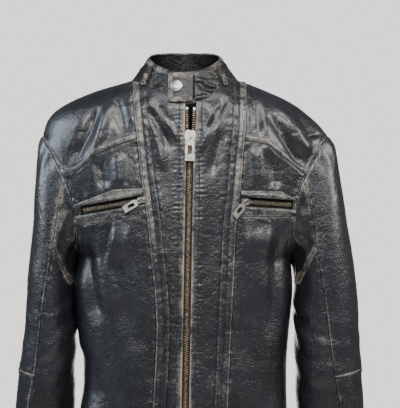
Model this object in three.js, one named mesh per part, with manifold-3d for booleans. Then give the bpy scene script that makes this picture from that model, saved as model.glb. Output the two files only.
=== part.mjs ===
// Leather jacket with a band collar, built as separate leather panels, linings, zips and snap.
// Millimetres. +Z is up, with 0 at the high point of the shoulder. The front faces -Y, and the wearer's left
// is +X.
import * as THREE from 'three';
import { mergeVertices } from 'three/addons/utils/BufferGeometryUtils.js';
import Module from 'manifold-3d';

const wasm = await Module();
wasm.setup();

// Shell: leather, then a space for the pocket bags, then the lining.
const LEATHER = 2.2;
const GAP = 0.3;
const BAG = { depth: 9, thickness: 1.2 };
const LINING = { depth: 11, thickness: 1.2 };
const SLEEVE_LINING = { depth: 6, thickness: 1.2 };
const HEM_Z = -640;
const SHOULDER_SEAM_Y = 12;
const TRUNK_POINTS = 40;
const COLLAR_POINTS = 32;

// Trunk: height, half width, front depth, back depth, roundness of the horizontal section (2 is an ellipse).
const TRUNK = [
  [8, 90, 62, 55, 2.0],
  [-10, 145, 80, 72, 1.95],
  [-30, 190, 92, 86, 1.95],
  [-45, 212, 99, 94, 2.0],
  [-66, 231, 99.7, 101, 2.15],
  [-84, 240, 100.4, 105, 2.25],
  [-102, 246, 101, 107, 2.3],
  [-150, 241, 102.7, 109, 2.4],
  [-200, 224, 104.5, 108, 2.45],
  [-250, 201, 106.2, 105, 2.5],
  [-290, 178, 107.6, 102, 2.5],
  [-330, 177, 109.1, 99, 2.5],
  [-400, 172, 111.5, 95, 2.5],
  [-480, 168, 114.4, 94, 2.5],
  [-560, 170, 117.2, 97, 2.5],
  [HEM_Z, 174, 120, 101, 2.5],
];
// Armhole seam: height, distance from the middle.
const ARMHOLE = [[-290, 178], [-250, 179], [-205, 182], [-178, 188], [-148, 202], [-117, 220], [-84, 240]];

// Sleeve: outer line (x, z), inner line (x, z), half depth of each ring from the shoulder to the cuff.
const SLEEVE_RINGS = [
  [251, -104, 181, -300, 66],
  [256, -150, 183, -313, 68],
  [262, -220, 184, -334, 69],
  [267, -290, 184, -364, 68],
  [272, -370, 184, -412, 64],
  [280, -470, 185, -486, 60],
  [289, -570, 188, -577, 56],
  [295, -650, 196, -656, 52],
  [298, -700, 203, -706, 49],
];
const SLEEVE_SEAM = [
  [100, -158], [196, -166], [209, -224], [216, -280], [228, -365], [242, -480], [251, -531], [266, -730],
];
// How much further out the outer and the inner line of each ring lie than in SLEEVE_RINGS.
const SLEEVE_SHIFT = {
  left: { outer: [3, 5, 8, 14, 17, 14, 10, 8, 7], inner: [0, 0, -1, -3, -4, -3, -2, 0, 0] },
  right: { outer: [-2, -5, -7, -7, -7, -6, -6, -8, -8], inner: [0, -1, -2, -4, -5, -5, -5, -5, -5] },
};
const SLEEVE_LEAN = { left: 6, right: -6 };
const SLEEVE_FORWARD = 12;
const SHOULDER_SKEW = 0.045;

// Seams of the fronts: the strips as height and distance from the zip, and the others as distance from the
// middle and height.
const STRIP_WIDTH = 22;
const STRIP_OUTER = {
  left: [
    [-660, 66], [-525, 68], [-405, 72], [-314, 74.5], [-242, 77], [-188, 82], [-119, 87], [-79, 90], [30, 92],
  ],
  right: [
    [-660, 55], [-525, 52], [-405, 48.5], [-359, 51], [-282, 60], [-221, 67.5], [-170, 76], [-104, 85], [30, 101],
  ],
};
const YOKE_SEAM = {
  left: [[0, -97], [99, -98], [134, -105], [153, -119], [177, -136], [205, -159], [300, -200]],
  right: [[0, -90], [78, -96], [102, -103], [144, -121], [169, -142], [195, -152], [300, -180]],
};
const POCKET_TOP = {
  left: [[0, -177], [158, -180], [185, -195], [300, -210]],
  right: [[0, -172], [114, -177], [179, -201], [300, -240]],
};
const POCKET_BOTTOM = {
  left: [[0, -221], [300, -222]],
  right: [[0, -208], [62, -218], [171, -236], [300, -250]],
};
const BACK_YOKE_Z = -150;
const BACK_SEAM_X = 105;

// Collar band: bottom and top rings as half width, half depth, middle of the ring and its height, given as
// the mean, how much the back stands above it, and how much the sides do.
const COLLAR = {
  bottom: { width: 90, depth: 78, y: -17, z: [-4.25, 20.5, 10.25] },
  top: { width: 61.5, depth: 68, y: -15, z: [42.5, 24, 4] },
  facing: 1.6,
  facingGap: 1.2,
  frontLow: -35,
  frontHeight: 49.5,
};
const COLLAR_MEETS_X = 10.5;
const NECK_GAP = 1.6;
const TAB = { standoff: 3.4, thickness: 2.2, left: -26, right: 14.2, top: 12, bottom: -36 };
const SNAP = { x: -11.6, z: -12, capRadius: 9.5, socketRadius: 6.2, holeRadius: 4.2, studRadius: 3.6 };

// Main zip: top and bottom of its straight line on the leather's outer face.
const ZIP_TOP = new THREE.Vector3(10.5, -99, -45);
const ZIP_BOTTOM = new THREE.Vector3(0, -120, HEM_Z);
const MAIN_ZIP = {
  tapeTop: 3.4, tape: 0.8, tapeWidth: 18, teethTop: 0.4, teeth: 2.3, pitch: 7.2, slider: -46, sliderTop: -0.35,
};
const CHAIN_START = -4.5;
const CHAIN_END = -576;
const PARTED = 3.9;
// How far a pull's bar stands off its slider's plate.
const BAR_RISE = 1.7;

// Chest pocket zips: inner and outer ends on the leather, and the angle at which the pull hangs.
const POCKET_ZIP = {
  left: { inner: [98, -197], outer: [174, -202], pullAngle: 129 },
  right: { inner: [-68, -194], outer: [-164, -211], pullAngle: -21 },
};
const POCKET_OPENING = 15;
const POCKET_RISE = 2;
const POCKET_PULL_LIFT = 10;
const COLLAR_ZIP = { angle: 0.62, height: 0.62, length: 30, width: 10, tilt: 0.3 };

const MATERIALS = {
  leather: { color: 0x2a2b2e, roughness: 0.5, metalness: 0 },
  strip_leather: { color: 0x34353a, roughness: 0.5, metalness: 0 },
  lining: { color: 0x17181c, roughness: 0.85, metalness: 0 },
  tape: { color: 0x3a2f25, roughness: 0.9, metalness: 0 },
  teeth: { color: 0xb7a98a, roughness: 0.35, metalness: 1 },
  hardware: { color: 0xc9c8c4, roughness: 0.25, metalness: 1 },
};

const group = new THREE.Group();
const SIDES = { left: 1, right: -1 };

// ---------- curves ----------

// Smooth curve through a table sorted by its first column, with no overshoot between rows.
function smoothTable(rows, column) {
  const sorted = [...rows].sort((a, b) => a[0] - b[0]);
  const x = sorted.map((row) => row[0]);
  const y = sorted.map((row) => row[column]);
  const slope = x.slice(1).map((next, i) => (y[i + 1] - y[i]) / (next - x[i]));
  const tangent = x.map((_, i) => {
    if (i === 0) return slope[0];
    if (i === x.length - 1) return slope[i - 1];
    const product = slope[i - 1] * slope[i];
    return product <= 0 ? 0 : (2 * product) / (slope[i - 1] + slope[i]);
  });
  return (at) => {
    const value = THREE.MathUtils.clamp(at, x[0], x[x.length - 1]);
    let i = 0;
    while (i < x.length - 2 && value > x[i + 1]) i += 1;
    const step = x[i + 1] - x[i];
    const t = (value - x[i]) / step;
    const bend = t * t * (3 - 2 * t);
    return y[i] * (1 - bend) + y[i + 1] * bend
      + step * (tangent[i] * (t ** 3 - 2 * t * t + t) + tangent[i + 1] * (t ** 3 - t * t));
  };
}

const tableWidth = smoothTable(TRUNK, 1);
const frontDepth = smoothTable(TRUNK, 2);
const backDepth = smoothTable(TRUNK, 3);
const roundness = smoothTable(TRUNK, 4);
const armholeX = smoothTable(ARMHOLE, 1);

const signedPower = (value, power) => Math.sign(value) * Math.abs(value) ** power;

// Half width towards +X (sign 1) or -X (sign -1). The jacket hangs with its right shoulder a little higher.
function halfWidth(z, sign) {
  const { smoothstep } = THREE.MathUtils;
  const skew = SHOULDER_SKEW * (1 - smoothstep(z, -12, 8)) * smoothstep(z, -90, -40);
  return tableWidth(z) * (1 - sign * skew);
}

// Point on the trunk, `inset` below the leather's outer face.
function trunkPoint(angle, z, inset) {
  const level = z + inset;
  const power = 2 / roundness(level);
  const depth = Math.sin(angle) < 0 ? frontDepth(level) : backDepth(level);
  return new THREE.Vector3(
    signedPower(Math.cos(angle), power) * (halfWidth(level, Math.sign(Math.cos(angle))) - inset),
    signedPower(Math.sin(angle), power) * (depth - inset),
    z,
  );
}

// Distance of the leather's outer face from the middle plane at x and z.
function trunkDepth(x, z, depth) {
  const n = roundness(z);
  const share = Math.min(Math.abs(x) / halfWidth(z, Math.sign(x)), 1);
  return depth(z) * (1 - share ** n) ** (1 / n);
}

const frontPoint = (x, z) => new THREE.Vector3(x, -trunkDepth(x, z, frontDepth), z);

// Point on the collar band: height 0 is its seam and 1 its top edge, `offset` is outwards.
function collarPoint(angle, height, offset) {
  const mix = (name) => THREE.MathUtils.lerp(COLLAR.bottom[name], COLLAR.top[name], height);
  const level = ([mean, tilt, dip]) => mean + tilt * Math.sin(angle) + dip * Math.cos(2 * angle);
  return new THREE.Vector3(
    (mix('width') + offset) * Math.cos(angle),
    mix('y') + (mix('depth') + offset) * Math.sin(angle),
    THREE.MathUtils.lerp(level(COLLAR.bottom.z), level(COLLAR.top.z), height),
  );
}

function collarNormal(angle, height) {
  const at = collarPoint(angle, height, 0);
  const along = collarPoint(angle + 0.01, height, 0).sub(at);
  const up = collarPoint(angle, height + 0.01, 0).sub(at);
  return along.cross(up).normalize();
}

// ---------- solids ----------

function toSolid(geometry) {
  const bare = geometry.clone();
  bare.deleteAttribute('normal');
  bare.deleteAttribute('uv');
  const merged = mergeVertices(bare, 1e-4);
  return new wasm.Manifold(new wasm.Mesh({
    numProp: 3,
    vertProperties: new Float32Array(merged.attributes.position.array),
    triVerts: new Uint32Array(merged.index.array),
  }));
}

function meshOf(points, faces) {
  const geometry = new THREE.BufferGeometry();
  geometry.setAttribute('position', new THREE.Float32BufferAttribute(points.flatMap((p) => p.toArray()), 3));
  geometry.setIndex(faces.flat());
  return geometry;
}

const addQuad = (faces, a, b, c, d) => faces.push([a, b, c], [a, c, d]);

// Solid through a stack of rings that run anticlockwise seen from the last ring.
function loft(rings) {
  const count = rings[0].length;
  const points = rings.flat();
  const faces = [];
  for (let k = 0; k + 1 < rings.length; k += 1) {
    for (let i = 0; i < count; i += 1) {
      const next = (i + 1) % count;
      addQuad(faces, k * count + i, k * count + next, (k + 1) * count + next, (k + 1) * count + i);
    }
  }
  const middle = (ring) => ring.reduce((sum, p) => sum.add(p), new THREE.Vector3()).divideScalar(count);
  const last = (rings.length - 1) * count;
  points.push(middle(rings[0]), middle(rings[rings.length - 1]));
  for (let i = 0; i < count; i += 1) {
    const next = (i + 1) % count;
    faces.push([points.length - 2, next, i], [points.length - 1, last + i, last + next]);
  }
  return toSolid(meshOf(points, faces));
}

// Closed wall between two stacks of rings, open at both ends of the tube.
function tube(outer, inner, flip) {
  const count = outer[0].length;
  const stack = outer.length;
  const points = [...outer.flat(), ...inner.flat()];
  const faces = [];
  for (let i = 0; i < count; i += 1) {
    const next = (i + 1) % count;
    for (let k = 0; k + 1 < stack; k += 1) {
      const low = k * count;
      const high = low + count;
      const inside = stack * count;
      addQuad(faces, low + i, low + next, high + next, high + i);
      addQuad(faces, inside + low + next, inside + low + i, inside + high + i, inside + high + next);
    }
    const end = (stack - 1) * count;
    const innerStart = stack * count;
    addQuad(faces, i, innerStart + i, innerStart + next, next);
    addQuad(faces, end + next, innerStart + end + next, innerStart + end + i, end + i);
  }
  return toSolid(meshOf(points, flip ? faces.map((face) => [...face].reverse()) : faces));
}

// Prism along Y between two depths, over an outline of (x, z) points.
function prism(outline, yLow, yHigh) {
  const shape = new THREE.Shape(outline.map(([x, z]) => new THREE.Vector2(x, z)));
  const geometry = new THREE.ExtrudeGeometry(shape, { depth: yHigh - yLow, bevelEnabled: false });
  geometry.rotateX(Math.PI / 2);
  geometry.translate(0, yHigh, 0);
  return toSolid(geometry);
}

function block(x, y, z, matrix = new THREE.Matrix4()) {
  const geometry = new THREE.BoxGeometry(x[1] - x[0], y[1] - y[0], z[1] - z[0]);
  geometry.translate((x[0] + x[1]) / 2, (y[0] + y[1]) / 2, (z[0] + z[1]) / 2);
  return toSolid(geometry.applyMatrix4(matrix));
}

const placed = (solid, matrix) => solid.transform(matrix.elements);

// Adds one closed body as a named mesh, without the slivers a cut can leave beside it.
function addPart(name, material, solid) {
  const pieces = solid.simplify(0.06).decompose().sort((a, b) => b.volume() - a.volume());
  const { vertProperties, triVerts } = pieces[0].getMesh();
  const geometry = new THREE.BufferGeometry();
  geometry.setAttribute('position', new THREE.BufferAttribute(vertProperties, 3));
  geometry.setIndex(new THREE.BufferAttribute(triVerts, 1));
  geometry.computeVertexNormals();
  const mesh = new THREE.Mesh(geometry, new THREE.MeshStandardMaterial(MATERIALS[material]));
  mesh.name = name;
  group.add(mesh);
}

// ---------- trunk ----------

function trunkSolid(inset, belowHem) {
  const heights = TRUNK.map((row) => row[0] - inset).filter((z) => z > HEM_Z);
  const levels = [HEM_Z - belowHem, ...heights.reverse()];
  const angles = Array.from({ length: TRUNK_POINTS }, (_, i) => (i / TRUNK_POINTS) * 2 * Math.PI);
  return loft(levels.map((z) => angles.map((angle) => trunkPoint(angle, z, inset))));
}

function trunkShell(depth, thickness) {
  return trunkSolid(depth, 0).subtract(trunkSolid(depth + thickness, 10));
}

function collarRing(height, offset, drop = 0) {
  const down = new THREE.Vector3(0, 0, -drop);
  return Array.from({ length: COLLAR_POINTS }, (_, i) => (
    collarPoint((i / COLLAR_POINTS) * 2 * Math.PI, height, offset).add(down)
  ));
}

function collarSolid(offset, low, high) {
  return loft([low, (low + high) / 2, high].map((height) => collarRing(height, offset)));
}

const zipX = (z) => THREE.MathUtils.mapLinear(z, ZIP_TOP.z, ZIP_BOTTOM.z, ZIP_TOP.x, ZIP_BOTTOM.x);

// Everything outside one armhole seam.
function armSide(side) {
  const seam = Array.from({ length: 13 }, (_, i) => THREE.MathUtils.lerp(-290, -84, i / 12));
  const edge = seam.map((z) => [SIDES[side] * armholeX(z), z]);
  return prism([
    [SIDES[side] * 330, -320], [SIDES[side] * 200, -320], [SIDES[side] * 182, -297],
    ...edge, [SIDES[side] * 262, -50], [SIDES[side] * 330, -50],
  ], -200, 200);
}

// Outline between an inner and an outer line, each given as height and distance from the zip.
function uprightBand(side, innerLine, outerLine) {
  const toPoint = ([z, u]) => [zipX(z) + SIDES[side] * u, z];
  return prism([...innerLine.map(toPoint), ...[...outerLine].reverse().map(toPoint)], -200, SHOULDER_SEAM_Y);
}

// Outline between a lower and an upper line, each given as distance from the middle and height.
function levelBand(side, lowerLine, upperLine) {
  const toPoint = (shift) => ([x, z]) => [SIDES[side] * x, z + shift];
  const lower = lowerLine.map(toPoint(GAP / 2));
  const upper = [...upperLine].reverse().map(toPoint(-GAP / 2));
  return prism([...lower, ...upper], -200, SHOULDER_SEAM_Y);
}

const shifted = (line, by) => line.map(([z, u]) => [z, u + by]);
const FLOOR = [[0, HEM_Z - 10], [300, HEM_Z - 10]];
const CEILING = [[0, 60], [300, 60]];
const ZIP_EDGE = [[-660, 6.6], [-112, 6.6], [-84, 9], [30, 10]];

// What the neck hole takes out of the trunk: the collar band, narrowing below its seam.
const neckPlug = loft([
  collarRing(0, -22, 60), collarRing(0, NECK_GAP, 6), collarRing(0, NECK_GAP), collarRing(1.4, NECK_GAP),
]);
const armSides = { left: armSide('left'), right: armSide('right') };

function openedShell(depth, thickness) {
  return trunkShell(depth, thickness).subtract(neckPlug).subtract(armSides.left).subtract(armSides.right);
}

function addTrunk() {
  const shell = openedShell(0, LEATHER);
  for (const side of Object.keys(SIDES)) {
    const outer = STRIP_OUTER[side];
    const beyond = shell.intersect(uprightBand(side, shifted(outer, GAP / 2), [[-660, 400], [30, 400]]));
    const strip = uprightBand(side, shifted(outer, GAP / 2 - STRIP_WIDTH), shifted(outer, -GAP / 2));
    const centre = uprightBand(side, ZIP_EDGE, shifted(outer, -GAP / 2 - STRIP_WIDTH));
    addPart(`centre_front_${side}`, 'leather', shell.intersect(centre));
    addPart(`princess_strip_${side}`, 'strip_leather', shell.intersect(strip));
    addPart(`front_yoke_${side}`, 'leather', beyond.intersect(levelBand(side, YOKE_SEAM[side], CEILING)));
    addPart(`chest_panel_${side}`, 'leather',
      beyond.intersect(levelBand(side, POCKET_TOP[side], YOKE_SEAM[side])));
    const pocketPanel = beyond.intersect(levelBand(side, POCKET_BOTTOM[side], POCKET_TOP[side]));
    addPart(`pocket_panel_${side}`, 'leather', pocketPanel.subtract(pocketMouth(side)));
    addPart(`side_front_${side}`, 'leather', beyond.intersect(levelBand(side, FLOOR, POCKET_BOTTOM[side])));
  }
  const addBack = (name, x, z) => {
    addPart(name, 'leather', shell.intersect(block(x, [SHOULDER_SEAM_Y + GAP, 200], z)));
  };
  addBack('back_yoke', [-300, 300], [BACK_YOKE_Z + GAP, 60]);
  addBack('back_centre', [-BACK_SEAM_X, BACK_SEAM_X], [-700, BACK_YOKE_Z]);
  addBack('back_side_left', [BACK_SEAM_X + GAP, 300], [-700, BACK_YOKE_Z]);
  addBack('back_side_right', [-300, -BACK_SEAM_X - GAP], [-700, BACK_YOKE_Z]);
}

function addLining() {
  const shell = openedShell(LINING.depth, LINING.thickness);
  const liningEdge = [[-660, 20], [30, 22]];
  for (const side of Object.keys(SIDES)) {
    addPart(`front_lining_${side}`, 'lining',
      shell.intersect(uprightBand(side, liningEdge, [[-660, 400], [30, 400]])));
  }
  const back = block([-300, 300], [SHOULDER_SEAM_Y + GAP, 200], [-700, 60]);
  addPart('back_lining', 'lining', shell.intersect(back));
}

// ---------- sleeves ----------

// Angle 0 is the outer line of the arm, a quarter turn is its front and a half turn its inner line.
function sleeveRing(side, k, inset, count) {
  const sign = SIDES[side];
  const ring = [];
  for (let i = 0; i < count; i += 1) {
    const angle = (i / count) * 2 * Math.PI;
    const front = Math.sin(angle) > 0 ? -1 : 1;
    let point;
    let centre;
    if (k === 0) {
      const z = THREE.MathUtils.lerp(-290, -84, (1 + Math.cos(angle)) / 2);
      const y = front * trunkDepth(armholeX(z), z, front < 0 ? frontDepth : backDepth);
      point = new THREE.Vector3(sign * (armholeX(z) + 2 * GAP), y, z);
      centre = new THREE.Vector3(point.x, 0, -187);
    } else {
      const [tableOutX, outZ, tableInX, inZ, depth] = SLEEVE_RINGS[k - 1];
      const outX = tableOutX + SLEEVE_SHIFT[side].outer[k - 1];
      const inX = tableInX + SLEEVE_SHIFT[side].inner[k - 1];
      const down = (k - 1) / (SLEEVE_RINGS.length - 1);
      const lean = SLEEVE_LEAN[side] * down;
      centre = new THREE.Vector3(sign * (outX + inX) / 2 + lean, -SLEEVE_FORWARD * down, (outZ + inZ) / 2);
      const across = new THREE.Vector3(sign * (outX - inX) / 2, 0, (outZ - inZ) / 2);
      point = centre.clone().addScaledVector(across, Math.cos(angle));
      point.y -= depth * Math.sin(angle);
    }
    ring.push(point.addScaledVector(centre.sub(point).normalize(), inset));
  }
  return ring;
}

function sleeveTube(side, inset, thickness, first) {
  const rings = SLEEVE_RINGS.length + 1 - first;
  const stack = (depth) => Array.from({ length: rings }, (_, k) => sleeveRing(side, k + first, depth, 26));
  return tube(stack(inset), stack(inset + thickness), SIDES[side] < 0);
}

function addSleeve(side) {
  const sign = SIDES[side];
  const outerPart = (shift) => prism([
    ...SLEEVE_SEAM.map(([x, z]) => [sign * (x + shift), z + shift]),
    [sign * 420, -730], [sign * 420, 0], [sign * 100, 0],
  ], -200, 200);
  const leather = sleeveTube(side, 0, LEATHER, 0);
  addPart(`top_sleeve_${side}`, 'leather', leather.intersect(outerPart(GAP / 2)));
  addPart(`under_sleeve_${side}`, 'leather', leather.subtract(outerPart(-GAP / 2)));
  addPart(`sleeve_lining_${side}`, 'lining', sleeveTube(side, SLEEVE_LINING.depth, SLEEVE_LINING.thickness, 1));
}

// ---------- collar, tab and snap ----------

const atX = (x, height, offset) => {
  const width = THREE.MathUtils.lerp(COLLAR.bottom.width, COLLAR.top.width, height) + offset;
  return -Math.acos(x / width);
};

function addCollar() {
  const slit = block([COLLAR_MEETS_X - 0.5, COLLAR_MEETS_X + 0.5], [-200, 0], [-100, 100]);
  const band = collarSolid(0, -0.05, 1).subtract(collarSolid(-LEATHER, -0.4, 1.4)).subtract(slit);
  const facingTop = -LEATHER - COLLAR.facingGap;
  const facing = collarSolid(facingTop, -0.05, 0.98)
    .subtract(collarSolid(facingTop - COLLAR.facing, -0.4, 1.4)).subtract(slit);
  addPart('collar_band', 'leather', band);
  addPart('collar_facing', 'leather', facing);
  const tabShell = collarSolid(TAB.standoff + TAB.thickness, -0.4, 1.4)
    .subtract(collarSolid(TAB.standoff, -0.8, 1.8));
  const tabOutline = prism([
    [TAB.left, TAB.bottom + 1], [TAB.left + 1, TAB.bottom], [TAB.right, TAB.bottom],
    [TAB.right, TAB.top], [TAB.left + 2, TAB.top], [TAB.left, TAB.top - 2],
  ], -200, -40);
  addPart('collar_tab', 'leather', tabShell.intersect(tabOutline));
}

function snapFrame() {
  const height = (SNAP.z - COLLAR.frontLow) / COLLAR.frontHeight;
  const angle = atX(SNAP.x, height, 0);
  const normal = collarNormal(angle, height);
  const turn = new THREE.Quaternion().setFromUnitVectors(new THREE.Vector3(0, 1, 0), normal);
  return new THREE.Matrix4().compose(collarPoint(angle, height, 0), turn, new THREE.Vector3(1, 1, 1));
}

function turned(profile) {
  return toSolid(new THREE.LatheGeometry(profile.map(([r, y]) => new THREE.Vector2(r, y)), 28));
}

function addSnap() {
  const frame = snapFrame();
  const face = TAB.standoff + TAB.thickness + GAP;
  const cap = [
    [0, face], [SNAP.capRadius - 0.6, face], [SNAP.capRadius, face + 0.6], [SNAP.capRadius - 0.8, face + 1.6],
    [SNAP.capRadius / 2, face + 2.3], [0, face + 2.5],
  ];
  const socketTop = TAB.standoff - 0.7;
  const socket = [
    [SNAP.holeRadius, 0.9], [SNAP.socketRadius, 0.9], [SNAP.socketRadius, socketTop],
    [SNAP.holeRadius, socketTop], [SNAP.holeRadius, 0.9],
  ];
  const stud = [
    [0, 0.3], [SNAP.studRadius, 0.3], [SNAP.studRadius, 2.2], [SNAP.studRadius - 0.6, 2.6], [0, 2.6],
  ];
  const post = [[0, -6.3], [SNAP.socketRadius, -6.3], [SNAP.socketRadius, -5.3], [0, -5.3]];
  addPart('snap_cap', 'hardware', placed(turned(cap), frame));
  addPart('snap_socket', 'hardware', placed(turned(socket), frame));
  addPart('snap_stud', 'hardware', placed(turned(stud), frame));
  addPart('snap_post', 'hardware', placed(turned(post), frame));
}

function addHangerLoop() {
  const outline = [[-30, 14], [30, 14], [32, 16], [32, 28], [30, 30], [-30, 30], [-32, 28], [-32, 16]];
  const eye = [[-26, 18], [26, 18], [26, 26], [-26, 26]];
  addPart('hanger_loop', 'lining', plate(outline, 1.4, [eye]).translate(0, 44, 0));
}

// ---------- zips ----------

// Frame of a zip: local Z runs along it, local -Y faces out and local X runs across it.
function zipFrame(origin, along, outward) {
  const z = along.clone().normalize();
  const x = z.clone().cross(outward).normalize();
  const y = z.clone().cross(x);
  return new THREE.Matrix4().makeBasis(x, y, z).setPosition(origin);
}

const mainFrame = zipFrame(ZIP_TOP, ZIP_TOP.clone().sub(ZIP_BOTTOM), new THREE.Vector3(0, -1, 0));

function pocketFrame(side) {
  const { inner, outer } = POCKET_ZIP[side];
  const from = frontPoint(...inner);
  const to = frontPoint(...outer);
  const middle = inner.map((value, i) => (value + outer[i]) / 2);
  const rise = frontPoint(middle[0], middle[1] + 12).sub(frontPoint(middle[0], middle[1] - 12));
  const along = from.clone().sub(to);
  const outward = rise.cross(along).multiplyScalar(SIDES[side]).normalize();
  return zipFrame(from.addScaledVector(outward, POCKET_RISE), along, outward);
}

function pocketLength(side) {
  return frontPoint(...POCKET_ZIP[side].inner).distanceTo(frontPoint(...POCKET_ZIP[side].outer));
}

function pocketMouth(side) {
  const half = POCKET_OPENING / 2;
  return block([-half, half], [-12, 12], [-pocketLength(side) - 2, 7], pocketFrame(side));
}

// Plate lying in local X and Z, with its outer face `thickness` out from its back face at y = 0.
function plate(outline, thickness, holes = []) {
  const shape = new THREE.Shape(outline.map(([x, z]) => new THREE.Vector2(x, z)));
  for (const hole of holes) shape.holes.push(new THREE.Path(hole.map(([x, z]) => new THREE.Vector2(x, z))));
  const geometry = new THREE.ExtrudeGeometry(shape, { depth: thickness, bevelEnabled: false });
  return toSolid(geometry.rotateX(Math.PI / 2));
}

const rectangle = (x, zLow, zHigh) => [[-x, zLow], [x, zLow], [x, zHigh], [-x, zHigh]];

// Slider plate with the bridge that holds the pull's bar.
function slider(width, length, thickness, bridgeAngle = 0) {
  const w = width / 2;
  const h = length / 2;
  const body = plate([
    [-w * 0.75, -h], [w * 0.75, -h], [w, -h * 0.5], [w, h * 0.6], [w * 0.7, h], [-w * 0.7, h], [-w, h * 0.6],
    [-w, -h * 0.5],
  ], thickness);
  const arch = new THREE.Shape([
    [-5, 0.2], [-5, -3.8], [-4.2, -4.6], [4.2, -4.6], [5, -3.8], [5, 0.2],
    [3.8, 0.2], [3.8, -3.4], [-3.8, -3.4], [-3.8, 0.2],
  ].map(([z, y]) => new THREE.Vector2(z, y)));
  const bridge = new THREE.ExtrudeGeometry(arch, { depth: 3, bevelEnabled: false });
  bridge.translate(0, 0, -1.5);
  bridge.rotateY(-Math.PI / 2);
  bridge.rotateY(bridgeAngle);
  bridge.translate(0, -thickness, 0);
  return body.add(toSolid(bridge));
}

// Pull with its bar at the origin, hanging along local -Z, with an eye for the bridge and a window.
function pull(width, length, window) {
  const w = width / 2;
  const outline = [
    [-3.7, 1], [-3.7, -7.5], [-w, -10.5], [-w, 1.6 - length], [1.2 - w, 1 - length], [w - 1.2, 1 - length],
    [w, 1.6 - length], [w, -10.5], [3.7, -7.5], [3.7, 1],
  ].reverse();
  return plate(outline, 1.8, [rectangle(2.1, -6.4, -1), rectangle(window.x, window.low, window.high)])
    .translate(0, 0.9, 0);
}

// Row of teeth on one side of the main zip, parted above the slider and meshed below it.
function teethRow(side) {
  const parted = (z) => PARTED * THREE.MathUtils.smoothstep(z, MAIN_ZIP.slider - 4, MAIN_ZIP.slider + 16);
  const inner = [];
  const steps = Math.floor((CHAIN_START - CHAIN_END) / (MAIN_ZIP.pitch / 2));
  for (let i = 0; i <= steps; i += 1) {
    const z = CHAIN_START - i * (MAIN_ZIP.pitch / 2);
    const tip = i % 2 ? 0.8 : -0.8;
    inner.push([0.25 + parted(z) + tip * SIDES[side], z]);
  }
  const outer = [[3.2, inner[steps][1]], [3.2, MAIN_ZIP.slider - 6]];
  for (let z = MAIN_ZIP.slider + 2; z < -6; z += 9) outer.push([3.2 + parted(z), z]);
  outer.push([3.2 + PARTED, CHAIN_START]);
  const outline = [...inner, ...outer].map(([x, z]) => [SIDES[side] * x, z]);
  return plate(outline, MAIN_ZIP.teeth).translate(0, MAIN_ZIP.teethTop + MAIN_ZIP.teeth, 0);
}

function mainTape(side) {
  const sign = SIDES[side];
  const outline = [
    [0.3, CHAIN_END - 14], [0.3, MAIN_ZIP.slider - 4], [0.3 + PARTED, MAIN_ZIP.slider + 16], [0.3 + PARTED, 0],
    [MAIN_ZIP.tapeWidth - 9, 0], [MAIN_ZIP.tapeWidth, -90], [MAIN_ZIP.tapeWidth, CHAIN_END - 14],
  ].map(([x, z]) => [sign * x, z]);
  return plate(outline, MAIN_ZIP.tape).translate(0, MAIN_ZIP.tapeTop + MAIN_ZIP.tape, 0);
}

function addMainZip() {
  for (const side of Object.keys(SIDES)) {
    const sign = SIDES[side];
    const stop = block([3.6, 6.9], [0.4, 2.7], [-4, 0]).translate(0.6, 0, 0);
    addPart(`zip_tape_${side}`, 'tape', placed(mainTape(side), mainFrame));
    addPart(`zip_teeth_${side}`, 'teeth', placed(teethRow(side), mainFrame));
    addPart(`zip_top_stop_${side}`, 'hardware',
      placed(sign > 0 ? stop : stop.mirror([1, 0, 0]), mainFrame));
  }
  const boxTop = CHAIN_END - 1.5;
  const box = plate(rectangle(4.8, boxTop - 10, boxTop), 2.3).translate(0, 2.7, 0);
  addPart('zip_bottom_box', 'hardware', placed(box, mainFrame));
  const thickness = 1.9;
  const body = slider(16.5, 18, thickness).translate(0, MAIN_ZIP.sliderTop, MAIN_ZIP.slider);
  const backPlate = plate(rectangle(6, -8, 8), 1.4).translate(0, 6, MAIN_ZIP.slider);
  const barY = MAIN_ZIP.sliderTop - thickness - BAR_RISE;
  const handle = pull(15.5, 42, { x: 3.2, low: -30, high: -16 }).translate(0, barY, MAIN_ZIP.slider);
  addPart('main_slider', 'hardware', placed(body, mainFrame));
  addPart('main_slider_back', 'hardware', placed(backPlate, mainFrame));
  addPart('main_pull', 'hardware', placed(handle, mainFrame));
}

function pocketChain(length) {
  const edge = (sign) => {
    const points = [];
    for (let z = -length; z < -1; z += 1.5) points.push([sign * (points.length % 2 ? 3.4 : 2.6), z]);
    return points;
  };
  return plate([...edge(-1), ...edge(1).reverse()].reverse(), 1.8);
}

function addPocketZip(side) {
  const frame = pocketFrame(side);
  const length = pocketLength(side);
  const tape = block([-10.5, 10.5], [5.9, 6.5], [-length - 2, 6]);
  const angle = THREE.MathUtils.degToRad(POCKET_ZIP[side].pullAngle);
  const thickness = 1.5;
  const sliderTop = 0.3;
  const body = slider(11, 13, thickness, angle).translate(0, sliderTop, 0);
  const handle = pull(12, 33, { x: 2.8, low: -24, high: -12.5 })
    .rotate([-POCKET_PULL_LIFT, 0, 0])
    .rotate([0, POCKET_ZIP[side].pullAngle, 0])
    .translate(0, sliderTop - thickness - BAR_RISE, 0);
  addPart(`pocket_tape_${side}`, 'tape', placed(tape, frame));
  addPart(`pocket_chain_${side}`, 'teeth', placed(pocketChain(length).translate(0, 2.6, 0), frame));
  addPart(`pocket_slider_${side}`, 'hardware', placed(body, frame));
  addPart(`pocket_pull_${side}`, 'hardware', placed(handle, frame));
}

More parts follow.
